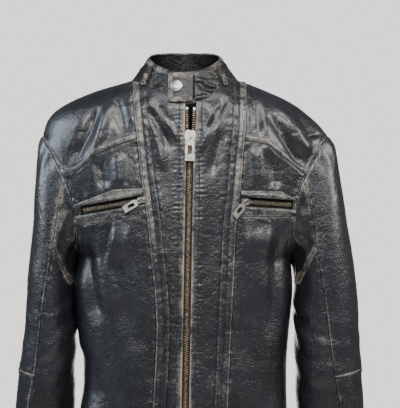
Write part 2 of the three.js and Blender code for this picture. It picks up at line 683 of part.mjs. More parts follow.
function addPocketBag(side) {
  const sign = SIDES[side];
  const [innerX, innerZ] = POCKET_ZIP[side].inner;
  const [outerX] = POCKET_ZIP[side].outer;
  const outline = [
    [innerX + sign * 4, innerZ + 12], [outerX - sign * 8, innerZ - 4], [outerX - sign * 10, innerZ - 120],
    [innerX + sign * 4, innerZ - 130],
  ];
  addPart(`pocket_bag_${side}`, 'lining',
    trunkShell(BAG.depth, BAG.thickness).intersect(prism(outline, -200, SHOULDER_SEAM_Y)));
}

function addCollarZip(side) {
  const sign = SIDES[side];
  const angle = sign > 0 ? -COLLAR_ZIP.angle : COLLAR_ZIP.angle - Math.PI;
  const at = collarPoint(angle, COLLAR_ZIP.height, 0);
  const normal = collarNormal(angle, COLLAR_ZIP.height);
  const up = collarPoint(angle, COLLAR_ZIP.height + 0.1, 0).sub(at);
  up.applyAxisAngle(normal, -sign * COLLAR_ZIP.tilt);
  const frame = zipFrame(at, up, normal);
  const half = COLLAR_ZIP.length / 2;
  const strip = block([-COLLAR_ZIP.width / 2, COLLAR_ZIP.width / 2], [-9, 9], [-half, half], frame);
  const wrap = collarSolid(1.9, -0.4, 1.4).subtract(collarSolid(0.8, -0.8, 1.8));
  const rest = -half + 7;
  const thickness = 1.2;
  const sliderTop = -2.3;
  const body = slider(7, 10, thickness).translate(0, sliderTop, rest);
  const handle = pull(9, 17, { x: 2, low: -14, high: -9.5 })
    .translate(0, sliderTop - thickness - BAR_RISE, rest);
  addPart(`collar_zip_${side}`, 'teeth', wrap.intersect(strip));
  addPart(`collar_slider_${side}`, 'hardware', placed(body, frame));
  addPart(`collar_pull_${side}`, 'hardware', placed(handle, frame));
}

addTrunk();
addLining();
addCollar();
addSnap();
addHangerLoop();
addMainZip();
for (const side of Object.keys(SIDES)) {
  addSleeve(side);
  addPocketZip(side);
  addPocketBag(side);
  addCollarZip(side);
}

export default group;
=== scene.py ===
"""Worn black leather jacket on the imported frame, worked out in millimetres and built in metres."""

import bpy
import numpy as np
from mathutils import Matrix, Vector


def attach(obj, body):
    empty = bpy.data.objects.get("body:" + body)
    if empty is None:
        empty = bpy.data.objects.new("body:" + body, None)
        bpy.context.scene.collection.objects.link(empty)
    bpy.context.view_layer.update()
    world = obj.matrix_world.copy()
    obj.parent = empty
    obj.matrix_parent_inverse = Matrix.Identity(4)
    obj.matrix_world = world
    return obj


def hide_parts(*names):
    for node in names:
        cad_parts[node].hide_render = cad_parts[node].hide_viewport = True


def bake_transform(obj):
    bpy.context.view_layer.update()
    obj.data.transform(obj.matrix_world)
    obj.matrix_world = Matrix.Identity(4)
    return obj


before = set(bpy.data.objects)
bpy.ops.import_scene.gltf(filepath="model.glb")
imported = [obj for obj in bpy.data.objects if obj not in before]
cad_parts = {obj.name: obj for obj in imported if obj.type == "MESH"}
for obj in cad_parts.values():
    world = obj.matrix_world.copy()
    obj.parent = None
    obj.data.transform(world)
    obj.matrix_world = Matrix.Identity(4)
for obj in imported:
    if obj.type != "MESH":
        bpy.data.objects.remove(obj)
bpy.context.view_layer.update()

SIDES = {"left": 1, "right": -1}
HEM_Z = -640.0

# Trunk: height, half width, front depth, back depth, roundness of the horizontal section.
TRUNK = np.array([
    (8, 90, 62, 55, 2.0), (-10, 145, 80, 72, 1.95), (-30, 190, 92, 86, 1.95), (-45, 212, 99, 94, 2.0),
    (-66, 231, 99.7, 101, 2.15), (-84, 240, 100.4, 105, 2.25), (-102, 246, 101, 107, 2.3),
    (-150, 241, 102.7, 109, 2.4), (-200, 224, 104.5, 108, 2.45), (-250, 201, 106.2, 105, 2.5),
    (-290, 178, 107.6, 102, 2.5), (-330, 177, 109.1, 99, 2.5), (-400, 172, 111.5, 95, 2.5),
    (-480, 168, 114.4, 94, 2.5), (-560, 170, 117.2, 97, 2.5), (HEM_Z, 174, 120, 101, 2.5),
])
ARMHOLE_LOW = -290
ARMHOLE_HIGH = -84
SHOULDER_Z = -50.0
TRUNK_TOP = 8.0
ARMHOLE = [(-290, 178), (-250, 179), (-205, 182), (-178, 188), (-148, 202), (-117, 220), (-84, 240)]
# Rings of a sleeve from shoulder to cuff: outer x and z, inner x and z, half depth.
SLEEVE = np.array([
    (240, -84, 178, -290, 68), (251, -104, 181, -300, 66), (256, -150, 183, -313, 68),
    (262, -220, 184, -334, 69), (267, -290, 184, -364, 68), (272, -370, 184, -412, 64),
    (280, -470, 185, -486, 60), (289, -570, 188, -577, 56), (295, -650, 196, -656, 52),
    (298, -700, 203, -706, 49),
])
SLEEVE_SEAM = [
    (-158, 190), (-166, 196), (-224, 209), (-280, 216), (-365, 228), (-480, 242), (-531, 251), (-730, 266),
]
SLEEVE_LEAN = {"left": 6, "right": -6}
SLEEVE_FORWARD = 12
STRIP_WIDTH = 22
STRIP_BAND = 12
PLACKET = 9
# Outer edge of the strip beside the zip: height, distance from the zip.
STRIP_OUTER = {
    "left": [
        (-660, 66), (-525, 68), (-405, 72), (-314, 74.5), (-242, 77), (-188, 82), (-119, 87), (-79, 90),
        (30, 92),
    ],
    "right": [
        (-660, 55), (-525, 52), (-405, 48.5), (-359, 51), (-282, 60), (-221, 67.5), (-170, 76), (-104, 85),
        (30, 101),
    ],
}
# Seams across the fronts: distance from the middle, height.
YOKE_SEAM = {
    "left": [(0, -97), (99, -98), (134, -105), (153, -119), (177, -136), (205, -159), (300, -200)],
    "right": [(0, -90), (78, -96), (102, -103), (144, -121), (169, -142), (195, -152), (300, -180)],
}
POCKET_TOP = {
    "left": [(0, -177), (158, -180), (185, -195), (300, -210)],
    "right": [(0, -172), (114, -177), (179, -201), (300, -240)],
}
POCKET_BOTTOM = {
    "left": [(0, -221), (300, -222)],
    "right": [(0, -208), (62, -218), (171, -236), (300, -250)],
}
POCKET_ZIP = {"left": ((98, -197), (174, -202)), "right": ((-68, -194), (-164, -211))}
ZIP_TOP = np.array([10.5, -99, -45])
ZIP_BOTTOM = np.array([0, -120, HEM_Z])
BACK_YOKE_Z = -150
BACK_SEAM_X = 105
# Rings of the collar: half width, half depth, y of the middle, and the three terms of its height.
COLLAR = {"bottom": (90, 78, -17, (-4.25, 20.5, 10.25)), "top": (61.5, 68, -15, (42.5, 24, 4))}
COLLAR_MEETS_X = 10.5

# ---------- curves and noise ----------


def smooth_table(rows, column=1):
    """Smooth curve through a table sorted by its first column, with no overshoot between rows."""
    rows = np.array(sorted(tuple(r) for r in rows), float)
    x, y = rows[:, 0], rows[:, column]
    slope = np.diff(y) / np.diff(x)
    product = slope[:-1] * slope[1:]
    total = slope[:-1] + slope[1:]
    inner = np.where(product > 0, 2 * product / np.where(product > 0, total, 1), 0)
    tangent = np.concatenate([slope[:1], inner, slope[-1:]])

    def curve(at):
        at = np.clip(np.asarray(at, float), x[0], x[-1])
        i = np.clip(np.searchsorted(x, at, side="right") - 1, 0, len(x) - 2)
        step = x[i + 1] - x[i]
        t = (at - x[i]) / step
        bend = t * t * (3 - 2 * t)
        return (y[i] * (1 - bend) + y[i + 1] * bend
                + step * (tangent[i] * (t**3 - 2 * t * t + t) + tangent[i + 1] * (t**3 - t * t)))

    return curve


half_width = smooth_table(TRUNK, 1)
front_depth = smooth_table(TRUNK, 2)
back_depth = smooth_table(TRUNK, 3)
roundness = smooth_table(TRUNK, 4)
armhole_x = smooth_table(ARMHOLE)
sleeve_seam_x = smooth_table(SLEEVE_SEAM)
strip_outer = {side: smooth_table(rows) for side, rows in STRIP_OUTER.items()}


def zip_x(z):
    return ZIP_TOP[0] + (ZIP_BOTTOM[0] - ZIP_TOP[0]) * (z - ZIP_TOP[2]) / (ZIP_BOTTOM[2] - ZIP_TOP[2])


def smoothstep(a, b, x):
    t = np.clip((x - a) / (b - a), 0, 1)
    return t * t * (3 - 2 * t)


def bump(x, width):
    """One at x = 0, falling away to both sides over about `width`."""
    return np.exp(-((x / width) ** 2))


def unit(vectors):
    return vectors / np.linalg.norm(vectors, axis=-1, keepdims=True)


def noise(points, size, seed):
    """Smooth noise from -1 to 1 with cells of `size` (one number or one for each axis)."""
    table = np.random.default_rng(seed).uniform(-1, 1, (32, 32, 32))
    cell = points / np.asarray(size, float) + 100.0
    low = np.floor(cell).astype(int)
    f = cell - low
    f = f * f * (3 - 2 * f)
    total = np.zeros(points.shape[:-1])
    for corner in np.ndindex(2, 2, 2):
        index = [(low[..., k] + corner[k]) % 32 for k in range(3)]
        weight = np.ones_like(total)
        for k in range(3):
            weight = weight * (f[..., k] if corner[k] else 1 - f[..., k])
        total += table[index[0], index[1], index[2]] * weight
    return total


def fractal(points, size, seed, octaves=3):
    size = np.asarray(size, float)
    return sum(noise(points, size / 2**k, seed + k) / 2**k for k in range(octaves)) / 1.6


def line_distance(x, z, line):
    """(distance to a polyline, share of its length passed at the nearest point)."""
    line = np.asarray(line, float)
    lengths = np.hypot(*np.diff(line, axis=0).T)
    total = lengths.sum()
    best = np.full(np.shape(x), 1e9)
    share = np.zeros(np.shape(x))
    passed = 0.0
    for (ax, az), (bx, bz), length in zip(line[:-1], line[1:], lengths):
        t = ((x - ax) * (bx - ax) + (z - az) * (bz - az)) / length**2
        t = np.clip(t, 0, 1)
        d = np.hypot(x - ax - t * (bx - ax), z - az - t * (bz - az))
        nearer = d < best
        share = np.where(nearer, (passed + t * length) / total, share)
        best = np.where(nearer, d, best)
        passed += length
    return best, share


# ---------- grids that follow the seams ----------

def spread(keys, step, near):
    """Places along a line with extra ones beside each key, as (segment, share of it, offset)."""
    places = []
    for i in range(len(keys) - 1):
        length = keys[i + 1] - keys[i]
        after, before = near[i][1], near[i + 1][0]
        first, last = (after or (0,))[-1], (before or (0,))[-1]
        places.append((i, 0.0, 0.0))
        places += [(i, 0.0, offset) for offset in after]
        count = max(1, round((length - first - last) / step))
        for share in np.linspace(0, 1, count + 1)[1:-1]:
            places.append((i, share, first - share * (first + last)))
        places += [(i, 1.0, -offset) for offset in reversed(before)]
    places.append((len(keys) - 2, 1.0, 0.0))
    return [np.array(part) for part in zip(*places)]


def at_places(keys, places):
    """Values at the places, for keys given as an array whose last axis runs over the keys."""
    segment, share, offset = places
    low = keys[..., segment]
    return low + (keys[..., segment + 1] - low) * share + offset


FINE = (0.7, 1.4, 2.2, 3.4, 5.0)
MEDIUM = (0.8, 1.6, 3.0)


def edge_x(z):
    """Where the front meets the back or the sleeve, as a distance from the middle."""
    return np.where((z > ARMHOLE_LOW) & (z < ARMHOLE_HIGH), armhole_x(z), half_width(z))


def shoulder_skew(z):
    return 0.045 * smoothstep(8, -12, z) * smoothstep(-90, -40, z)


def section(z, x, depth, inset):
    level = z + inset
    n = roundness(level)
    width = half_width(level) * (1 - np.sign(x) * shoulder_skew(level)) - inset
    share = np.clip(np.abs(x) / width, 0, 1)
    return (depth(level) - inset) * (1 - share**n) ** (1 / n)


def side_edge(z, sign, inset):
    level = z + inset
    outer = half_width(level) * (1 - sign * shoulder_skew(level)) - inset
    return np.where((z > ARMHOLE_LOW) & (z < ARMHOLE_HIGH), np.minimum(armhole_x(z), outer + inset), outer)


def column_table(key_lines, places, depth, sign, inset):
    """x of every column at each of many heights, evened out along the curve of the section."""
    heights = np.linspace(HEM_Z, TRUNK_TOP - inset, 500)
    table = []
    for z in heights:
        keys = key_lines(z)
        low, high = keys[0], keys[-1]
        starts_at_zip = low > -30
        if starts_at_zip:
            x = low + (high - low) * np.sin(np.linspace(0, 1, 801) * np.pi / 2)
        else:
            x = (low + high) / 2 + (high - low) / 2 * np.sin(np.linspace(-1, 1, 801) * np.pi / 2)
        y = section(np.full_like(x, z), x * sign, depth, inset)
        run = np.concatenate([[0], np.cumsum(np.hypot(np.diff(x), np.diff(y)))])
        table.append(np.interp(at_places(np.interp(keys, x, run), places), run, x))
    return heights, np.array(table)


def trunk_grid(key_lines, column_places, level_curves, levels, depth, sign, inset=0.0):
    """Points of a front or back. Columns follow key_lines and rows follow level_curves."""
    heights, table = column_table(key_lines, column_places, depth, sign, inset)
    nominal, curves = level_curves
    z = np.repeat(levels[:, None], table.shape[1], axis=1)
    # A sloping seam ties a point's height to its x, so the two are settled together.
    for _ in range(32):
        x = np.stack([np.interp(z[:, c], heights, table[:, c]) for c in range(table.shape[1])], axis=1)
        along = np.array([curve(np.abs(x)) for curve in curves])
        part = np.clip(np.searchsorted(nominal, levels, side="right") - 1, 0, len(nominal) - 2)
        share = (levels - nominal[part]) / (nominal[part + 1] - nominal[part])
        low = np.take_along_axis(along, part[None, :, None], axis=0)[0]
        high = np.take_along_axis(along, part[None, :, None] + 1, axis=0)[0]
        z = (z + low + (high - low) * share[:, None]) / 2
    flip = -1 if depth is front_depth else 1
    return np.stack([x * sign, flip * section(z, x * sign, depth, inset), z], axis=-1)


def shoulder_levels(low, high, step):
    """Heights closer together where the shoulder is nearly level."""
    z = np.linspace(low, high, 900)
    run = np.concatenate([[0], np.cumsum(np.hypot(np.diff(z), np.diff(half_width(z))))])
    return np.interp(np.linspace(0, run[-1], int(run[-1] / step)), run, z)


def seam_curve(table, shift=0.0):
    xs, zs = np.array(table, float).T
    return lambda x: np.interp(x, xs, zs) + shift


def pocket_line(side):
    (ix, iz), (ox, oz) = POCKET_ZIP[side]
    slope = (oz - iz) / (abs(ox) - abs(ix))
    return lambda x: iz + slope * (np.clip(x, abs(ix) - 12, abs(ox) + 60) - abs(ix))


OPENING = 7.5
LEVEL_NAMES = ("hem", "pocket_bottom", "zip_low", "zip_high", "pocket_top", "yoke", "shoulder")


def front_levels(side):
    line = pocket_line(side)
    curves = [
        lambda x: 0 * x + HEM_Z, seam_curve(POCKET_BOTTOM[side]), lambda x: line(x) - OPENING,
        lambda x: line(x) + OPENING, seam_curve(POCKET_TOP[side]), seam_curve(YOKE_SEAM[side]),
        lambda x: 0 * x + SHOULDER_Z, lambda x: 0 * x + TRUNK_TOP,
    ]
    nominal = np.array([float(curve(np.array(88.0))) for curve in curves])
    lip, mouth = (0.6, 1.8, 3.2), (0.7, 2.5)
    near = [((), (1, 2.5)), (FINE, FINE), (lip, mouth), (mouth, lip), (FINE, FINE), (FINE, FINE), ((), ())]
    levels = at_places(nominal[:7], spread(nominal[:7], 2.3, near))
    return nominal, curves, np.concatenate([levels[:-1], shoulder_levels(SHOULDER_Z, TRUNK_TOP, 2.3)])


def front_keys(side):
    """Distances of the zip edge, placket stitch, strip seams and side from the middle, at one height."""
    sign = SIDES[side]

    def keys(z):
        middle = sign * zip_x(z)
        outer = strip_outer[side](z)
        edge = float(zip_edge(z))
        stops = middle + np.array([edge, edge + PLACKET, outer - STRIP_WIDTH, outer - STRIP_BAND, outer])
        side_x = float(side_edge(z, sign, 0))
        room = np.array([15, 12, 9, 6, 3])
        return np.append(np.minimum(stops, side_x - room), side_x)

    return keys


FRONT_COLUMNS = spread([6.6, 15.6, 55, 65, 77, 230], 2.4, [
    ((), ()), (FINE[:2], FINE[:2]), (FINE[:4], FINE[:4]), (FINE[:2], FINE[:2]), (FINE, FINE),
    ((0.8, 1.6, 2.6, 4.0, 6.0), ())])
zip_edge = smooth_table([(-660, 6.6), (-112, 6.6), (-84, 9), (30, 10)])


def front_grid(side):
    nominal, curves, levels = front_levels(side)
    grid = trunk_grid(front_keys(side), FRONT_COLUMNS, (nominal, curves), levels, front_depth, SIDES[side])
    return grid, dict(zip(LEVEL_NAMES, np.searchsorted(levels, nominal[:7] - 1e-6)))


def back_grid():
    nominal = np.array([HEM_Z, BACK_YOKE_Z, SHOULDER_Z, TRUNK_TOP])
    curves = [lambda x, z=z: 0 * x + z for z in nominal]
    near = [((), (1, 2.5)), (FINE, FINE), ((), ())]
    levels = at_places(nominal[:3], spread(nominal[:3], 3.0, near))
    levels = np.concatenate([levels[:-1], shoulder_levels(SHOULDER_Z, TRUNK_TOP, 3.0)])
    near = [((), (1.5, 3, 5)), (MEDIUM, MEDIUM), (MEDIUM, MEDIUM), ((1.5, 3, 5), ())]
    columns = spread([-270, -BACK_SEAM_X, BACK_SEAM_X, 270], 3.2, near)
    left, right = (lambda z: float(side_edge(z, 1, 0))), (lambda z: float(side_edge(z, -1, 0)))
    keys = lambda z: np.array([-right(z), -BACK_SEAM_X, BACK_SEAM_X, left(z)])
    return trunk_grid(keys, columns, (nominal, curves), levels, back_depth, 1)


def lining_grid(depth, sign, low_x, step, inset):
    top = TRUNK_TOP - inset
    nominal = np.array([HEM_Z, SHOULDER_Z, top])
    curves = [lambda x, z=z: 0 * x + z for z in nominal]
    levels = np.arange(HEM_Z + 2, SHOULDER_Z, step)
    levels = np.concatenate([levels, shoulder_levels(SHOULDER_Z, top, step)])
    if low_x is None:
        keys = lambda z: np.array([-float(side_edge(z, -1, inset)), float(side_edge(z, 1, inset))])
    else:
        keys = lambda z: np.array([sign * zip_x(z) + low_x, float(side_edge(z, sign, inset))])
    columns = spread([0, 540 if low_x is None else 250], step, [((), ()), ((), ())])
    return trunk_grid(keys, columns, (nominal, curves), levels, depth, sign, inset)


def away_from_axis(grid):
    return grid * np.array([1.0, 1.0, 0.0])


def grid_normals(grid, outward=away_from_axis):
    down = np.gradient(grid, axis=0)
    along = np.gradient(grid, axis=1)
    normal = np.cross(down, along)
    normal /= np.linalg.norm(normal, axis=2, keepdims=True) + 1e-9
    if np.sum(normal * outward(grid)) < 0:
        normal = -normal
    return normal


def side_normals(grid, normal, columns):
    """Gives the columns at the side the same normals on the front and the back."""
    z = grid[:, columns, 2]
    slope = (half_width(z + 1) - half_width(z - 1)) / 2
    out = np.stack([np.sign(grid[:, columns, 0]), 0 * z, -slope], axis=-1)
    normal[:, columns] = unit(out)
    return normal


# ---------- seams and folds ----------

class Relief:
    """Height over the smooth surface in millimetres, with a wear mask and a painted groove shade mask from
    0 to 1.
    """

    def __init__(self, grid, seed):
        self.grid = grid
        self.height = np.zeros(grid.shape[:2])
        self.wear = np.zeros(grid.shape[:2])
        self.painted_groove_shade = np.zeros(grid.shape[:2])
        broad = 0.62 + 0.9 * fractal(grid, 30, seed)
        fine = 0.6 + 0.8 * fractal(grid, 7, seed + 5)
        self.patchy = np.clip(broad * 0.62 + fine * 0.5, 0.08, 1.25)
        self.pucker = noise(grid, 4.5, seed + 9) * 0.5 + noise(grid, 9, seed + 10) * 0.5

    def seam(self, s, depth=1.0, wear=1.0, stitch=3.2, lap=0.8, reach=1.0):
        """Lapped seam at s = 0. The upper layer lies on the side of positive s."""
        self.height += reach * (
            lap * smoothstep(0.2, 1.3, s) * smoothstep(11, 5, s)
            - depth * bump(s, 0.8)
            - 0.45 * depth * bump(s - stitch, 0.7)
            + 0.35 * bump(np.abs(s) - 6, 3)
            + self.pucker * bump(s, 8))
        line = bump(s - 1.3, 0.9) + 0.38 * bump(s - 3.6, 2.6) + 0.22 * bump(s + 3, 2.4)
        self.rub(wear * line * reach)
        # Painted shade: the seam's groove and its stitch line are darkened in the groove shade mask.
        painted_seam_shade = np.maximum(bump(s + 0.3, 0.75), 0.6 * bump(s - stitch, 0.5))
        self.painted_groove_shade = np.maximum(self.painted_groove_shade, painted_seam_shade * reach * min(1.0, depth))

    def stitching(self, s, wear=0.1, reach=1.0):
        """Row of topstitching at s = 0, sunk a little into the leather."""
        self.height -= reach * 0.9 * bump(s, 1.0)
        self.height += reach * self.pucker * 0.7 * bump(s, 7)
        self.rub(wear * bump(np.abs(s) - 1.5, 1.2) * reach)
        # Painted shade: the sunk stitch row is darkened in the groove shade mask.
        self.painted_groove_shade = np.maximum(self.painted_groove_shade, 0.9 * bump(s, 0.8) * reach)

    def rub(self, amount):
        """Wear that comes and goes in patches."""
        self.wear = np.maximum(self.wear, amount * self.patchy)

    def folds(self, table):
        x, z = self.grid[..., 0], self.grid[..., 2]
        for line, height, width in table:
            d, share = line_distance(x, z, line)
            fade = smoothstep(-0.05, 0.25, share) * smoothstep(1.05, 0.7, share)
            self.height += height * bump(d, width) * fade

    def hide(self, seed):
        """Soft unevenness of worn hide, from broad swells to fine creases."""
        grid = self.grid
        swell = 2.3 * fractal(grid, (48, 48, 85), seed, 2) * (1 - 0.5 * smoothstep(-90, -40, grid[..., 2]))
        crease = 1 - np.abs(noise(grid, (17, 17, 26), seed + 5))
        fine = 1 - np.abs(noise(grid, (9, 9, 8), seed + 7))
        self.height += swell - 0.45 * crease**5 - 0.2 * fine**5 + 0.15 * noise(grid, 4.5, seed + 8)

    def masks(self):
        return {"wear": np.clip(self.wear, 0, 1.3), "painted_groove_shade": np.clip(self.painted_groove_shade, 0, 1)}


# Folds of the fronts: line of (x, z), height, half width. Valleys are negative.
FOLDS = [
    (((139, -50), (171, -106), (203, -150)), -9.0, 9),
    (((154, -40), (190, -95), (214, -128)), 6.0, 10),
    (((192, -50), (216, -97)), -5.0, 8),
    (((117, -30), (121, -86)), -5.5, 8),
    (((128, -60), (138, -128)), 4.5, 10),
    (((-141, -38), (-156, -81), (-177, -121), (-190, -142)), -10.0, 10),
    (((-124, -40), (-136, -90), (-150, -128)), 6.0, 9),
    (((-110, -24), (-95, -90)), -5.0, 8),
    (((-107, -118), (-105, -176)), 5.5, 9),
    (((-140, -126), (-128, -178)), -5.5, 8),
    (((118, -108), (121, -174)), 5.5, 9),
    (((146, -126), (150, -178)), -5.5, 8),
    (((-44, -36), (-15, -78)), -4.5, 5),
    (((-62, -40), (-22, -112)), -5.0, 6),
    (((-34, -44), (-8, -106)), 3.6, 5),
    (((-50, -60), (-32, -150)), 4.0, 8),
    (((67, -30), (32, -92)), -5.0, 6),
    (((50, -44), (22, -124)), 4.0, 6),
    (((62, -80), (40, -160)), -3.5, 8),
    (((-122, -262), (-86, -268)), 7.0, 28),
    (((92, -258), (146, -264)), 5.5, 26),
    (((-165, -262), (-150, -330), (-136, -400)), -7.5, 12),
    (((-150, -250), (-122, -330), (-112, -420)), 4.5, 16),
    (((-104, -352), (-66, -440)), -4.0, 22),
    (((160, -240), (148, -330), (140, -430)), -6.0, 13),
    (((128, -236), (118, -360)), 4.0, 18),
    (((96, -300), (92, -470)), -3.5, 18),
    (((30, -150), (26, -300)), 2.6, 12),
    (((-40, -170), (-30, -330)), 2.8, 13),
    (((-150, -470), (-96, -600)), -5.0, 20),
    (((150, -480), (100, -610)), -5.0, 22),
    (((60, -470), (30, -600)), 3.0, 18),
    (((-60, -500), (-20, -610)), 3.0, 18),
]
BACK_FOLDS = [
    (((-170, -190), (-120, -330)), -5, 16), (((170, -190), (120, -330)), -5, 16),
    (((-60, -420), (60, -400)), -4, 18), (((-120, -520), (20, -470)), -4, 16),
    (((140, -560), (30, -520)), -4, 16), (((0, -120), (0, -560)), 3, 40),
]


def arm_seam(relief):
    """The armhole seam, with the body lapped over the sleeve."""
    x, z = relief.grid[..., 0], relief.grid[..., 2]
    inside = smoothstep(-296, -288, z) * smoothstep(-78, -86, z)
    distance = armhole_x(z) - np.abs(x)
    relief.seam(distance + 0.2, depth=0.8, wear=0.9, stitch=3.4, lap=0.9, reach=inside)
    relief.stitching(distance - 8.5, 0.25, inside)


def near_side(grid):
    """One at the side edge of the trunk, fading towards the middle."""
    return smoothstep(26, 2, edge_x(grid[..., 2]) - np.abs(grid[..., 0]))


def neck_fade(grid):
    """Zero at the collar's seam and one well away from it."""
    width, depth, middle, _ = COLLAR["bottom"]
    radius = np.hypot(grid[..., 0] / width, (grid[..., 1] - middle) / depth)
    return np.where(grid[..., 2] > -75, smoothstep(1.01, 1.16, radius), 1.0)


# How far the body of the jacket blouses out at its sides, as (height, distance).
SIDE_BULGE = {
    "left": smooth_table([(-640, 3), (-540, 3), (-440, 4), (-360, 6), (-310, 3), (-285, 0), (8, 0)]),
    "right": smooth_table([
        (-640, 8), (-550, 8), (-500, 3), (-460, 3), (-430, 9), (-340, 11), (-300, 4), (-285, 0), (8, 0),
    ]),
}


def side_bulge(grid):
    x, z = grid[..., 0], grid[..., 2]
    return sum(SIDE_BULGE[side](z) * smoothstep(110, 172, sign * x) for side, sign in SIDES.items())


def puckers(relief, side, inset):
    """Small waves beside the zip and around the neck."""
    grid = relief.grid
    x, z = grid[..., 0], grid[..., 2]
    rows = np.sin(z / 1.15 + 2.6 * noise(grid, (40, 40, 17), 31) + 1.1 * SIDES[side])
    rows = rows * (0.6 + 0.6 * noise(grid, (20, 20, 11), 32))
    relief.height += 0.55 * rows * smoothstep(1, 7, inset) * smoothstep(27, 10, inset)
    angle = np.arctan2(x, -(z - 20))
    near_neck = smoothstep(-85, -40, z) * smoothstep(110, 60, np.abs(x))
    relief.height += near_neck * 1.2 * np.sin(angle * 15 + 1.5 * noise(grid, 30, 41))


def strip_relief(relief, u, outer):
    """Raised strip beside the zip, with a worn band along its outer edge."""
    inner, z = outer - STRIP_WIDTH, relief.grid[..., 2]
    strip = smoothstep(inner, inner + 1, u) * smoothstep(outer, outer - 1, u)
    relief.height += 0.9 * strip
    band = smoothstep(outer - STRIP_BAND, outer - STRIP_BAND + 1, u) * smoothstep(outer, outer - 1, u)
    relief.height += 0.8 * band
    relief.rub(band * (0.12 + 0.46 * smoothstep(-340, -190, z)) + strip * 0.12)
    relief.seam(outer - u, 1.0, 0.85)
    relief.seam(u - inner, 0.7, 0.4)
    relief.stitching(u - (outer - STRIP_BAND), 0.12)


def yoke_relief(relief, side, beyond):
    x, z = np.abs(relief.grid[..., 0]), relief.grid[..., 2]
    yoke = seam_curve(YOKE_SEAM[side])(x)
    relief.seam(z - yoke, 1.0, 0.8, reach=beyond)
    above = smoothstep(0, 1.5, z - yoke) * smoothstep(10, 8.5, z - yoke) * beyond
    relief.height += 0.7 * above
    relief.rub(above * 0.62)


def pocket_relief(relief, side, beyond):
    """Rolled welts above and below the pocket's opening, between two seams."""
    x, z = np.abs(relief.grid[..., 0]), relief.grid[..., 2]
    line = pocket_line(side)(x)
    top, bottom = seam_curve(POCKET_TOP[side])(x), seam_curve(POCKET_BOTTOM[side])(x)
    relief.seam(top - z, 0.9, 0.75, reach=beyond)
    relief.seam(z - bottom, 0.9, 0.75, reach=beyond)
    welt = np.abs(z - line)
    reach = beyond * pocket_reach(side, x)
    relief.height += 2.4 * bump(welt - 11, 3.0) * reach
    relief.rub(0.6 * bump(welt - OPENING - 0.8, 1.0) * reach)
    upper = smoothstep(OPENING, OPENING + 2, z - line) * smoothstep(0.5, -1.5, z - top)
    lower = smoothstep(OPENING, OPENING + 2, line - z) * smoothstep(0.5, -1.5, bottom - z)
    relief.rub((0.6 * upper + 0.42 * lower) * beyond)


def front_relief(side, grid):
    relief = Relief(grid, 11)
    x, z = grid[..., 0], grid[..., 2]
    u = SIDES[side] * (x - zip_x(z))
    outer = strip_outer[side](z)
    inset = u - zip_edge(z)
    relief.folds(FOLDS)
    relief.hide(51)
    puckers(relief, side, inset)
    relief.height *= 1 - near_side(grid)
    beyond = smoothstep(outer - 0.4, outer + 0.4, u)
    strip_relief(relief, u, outer)
    yoke_relief(relief, side, beyond)
    pocket_relief(relief, side, beyond)
    relief.stitching(inset - PLACKET, 0.3)
    relief.height += 0.8 * smoothstep(PLACKET + 0.5, PLACKET - 1, inset)
    relief.rub(bump(inset, 2.0) + 0.34 * smoothstep(PLACKET, PLACKET - 1.5, inset))
    arm_seam(relief)
    relief.height += side_bulge(grid)
    relief.height *= neck_fade(grid)
    return relief


def pocket_reach(side, x):
    (ix, _), (ox, _) = POCKET_ZIP[side]
    return smoothstep(abs(ix) - 14, abs(ix) - 9, x) * smoothstep(abs(ox) + 14, abs(ox) + 9, x)


def back_relief(grid):
    relief = Relief(grid, 13)
    x, z = grid[..., 0], grid[..., 2]
    relief.folds(BACK_FOLDS)
    relief.hide(51)
    relief.height *= 1 - near_side(grid)
    below = smoothstep(BACK_YOKE_Z + 0.5, BACK_YOKE_Z - 0.5, z)
    relief.seam(z - BACK_YOKE_Z, 1.0, 0.9)
    relief.seam(BACK_SEAM_X - np.abs(x), 1.0, 0.8, reach=below)
    arm_seam(relief)
    relief.height += side_bulge(grid)
    relief.height *= neck_fade(grid)
    return relief


# ---------- meshes ----------

def make_object(name, vertices, faces, material, normals=None, **masks):
    mesh = bpy.data.meshes.new(name)
    mesh.from_pydata((np.asarray(vertices) * 0.001).tolist(), [], [list(map(int, f)) for f in faces])
    mesh.polygons.foreach_set("use_smooth", [True] * len(mesh.polygons))
    for key, values in masks.items():
        attribute = mesh.attributes.new(key, "FLOAT", "POINT")
        attribute.data.foreach_set("value", np.asarray(values, np.float32))
    mesh.materials.append(material)
    mesh.update()
    if normals is not None:
        mesh.normals_split_custom_set_from_vertices(np.asarray(normals).tolist())
    obj = bpy.data.objects.new(name, mesh)
    bpy.context.collection.objects.link(obj)
    return obj


def grid_faces(rows, columns):
    r, c = np.meshgrid(np.arange(rows - 1), np.arange(columns - 1), indexing="ij")
    first = r * columns + c
    return np.stack([first, first + 1, first + columns + 1, first + columns], axis=-1)


def face_out(vertices, faces, normals):
    """Turns the faces so that they agree with the normals."""
    sample = faces[:: max(1, len(faces) // 200)]
    a, b, c = (vertices[sample[:, k]] for k in range(3))
    if np.sum(np.cross(b - a, c - a) * normals[sample[:, 0]]) < 0:
        return faces[:, ::-1]
    return faces


def ring_faces(sides, rings):
    """Faces of a closed body made of rings of points, with a flat face at each end."""
    faces = []
    for start in range(0, (rings - 1) * sides, sides):
        for i in range(sides):
            after = (i + 1) % sides
            faces.append([start + i, start + after, start + sides + after, start + sides + i])
    last = range(sides * (rings - 1), sides * rings)
    return faces + [list(range(sides - 1, -1, -1)), list(last)]


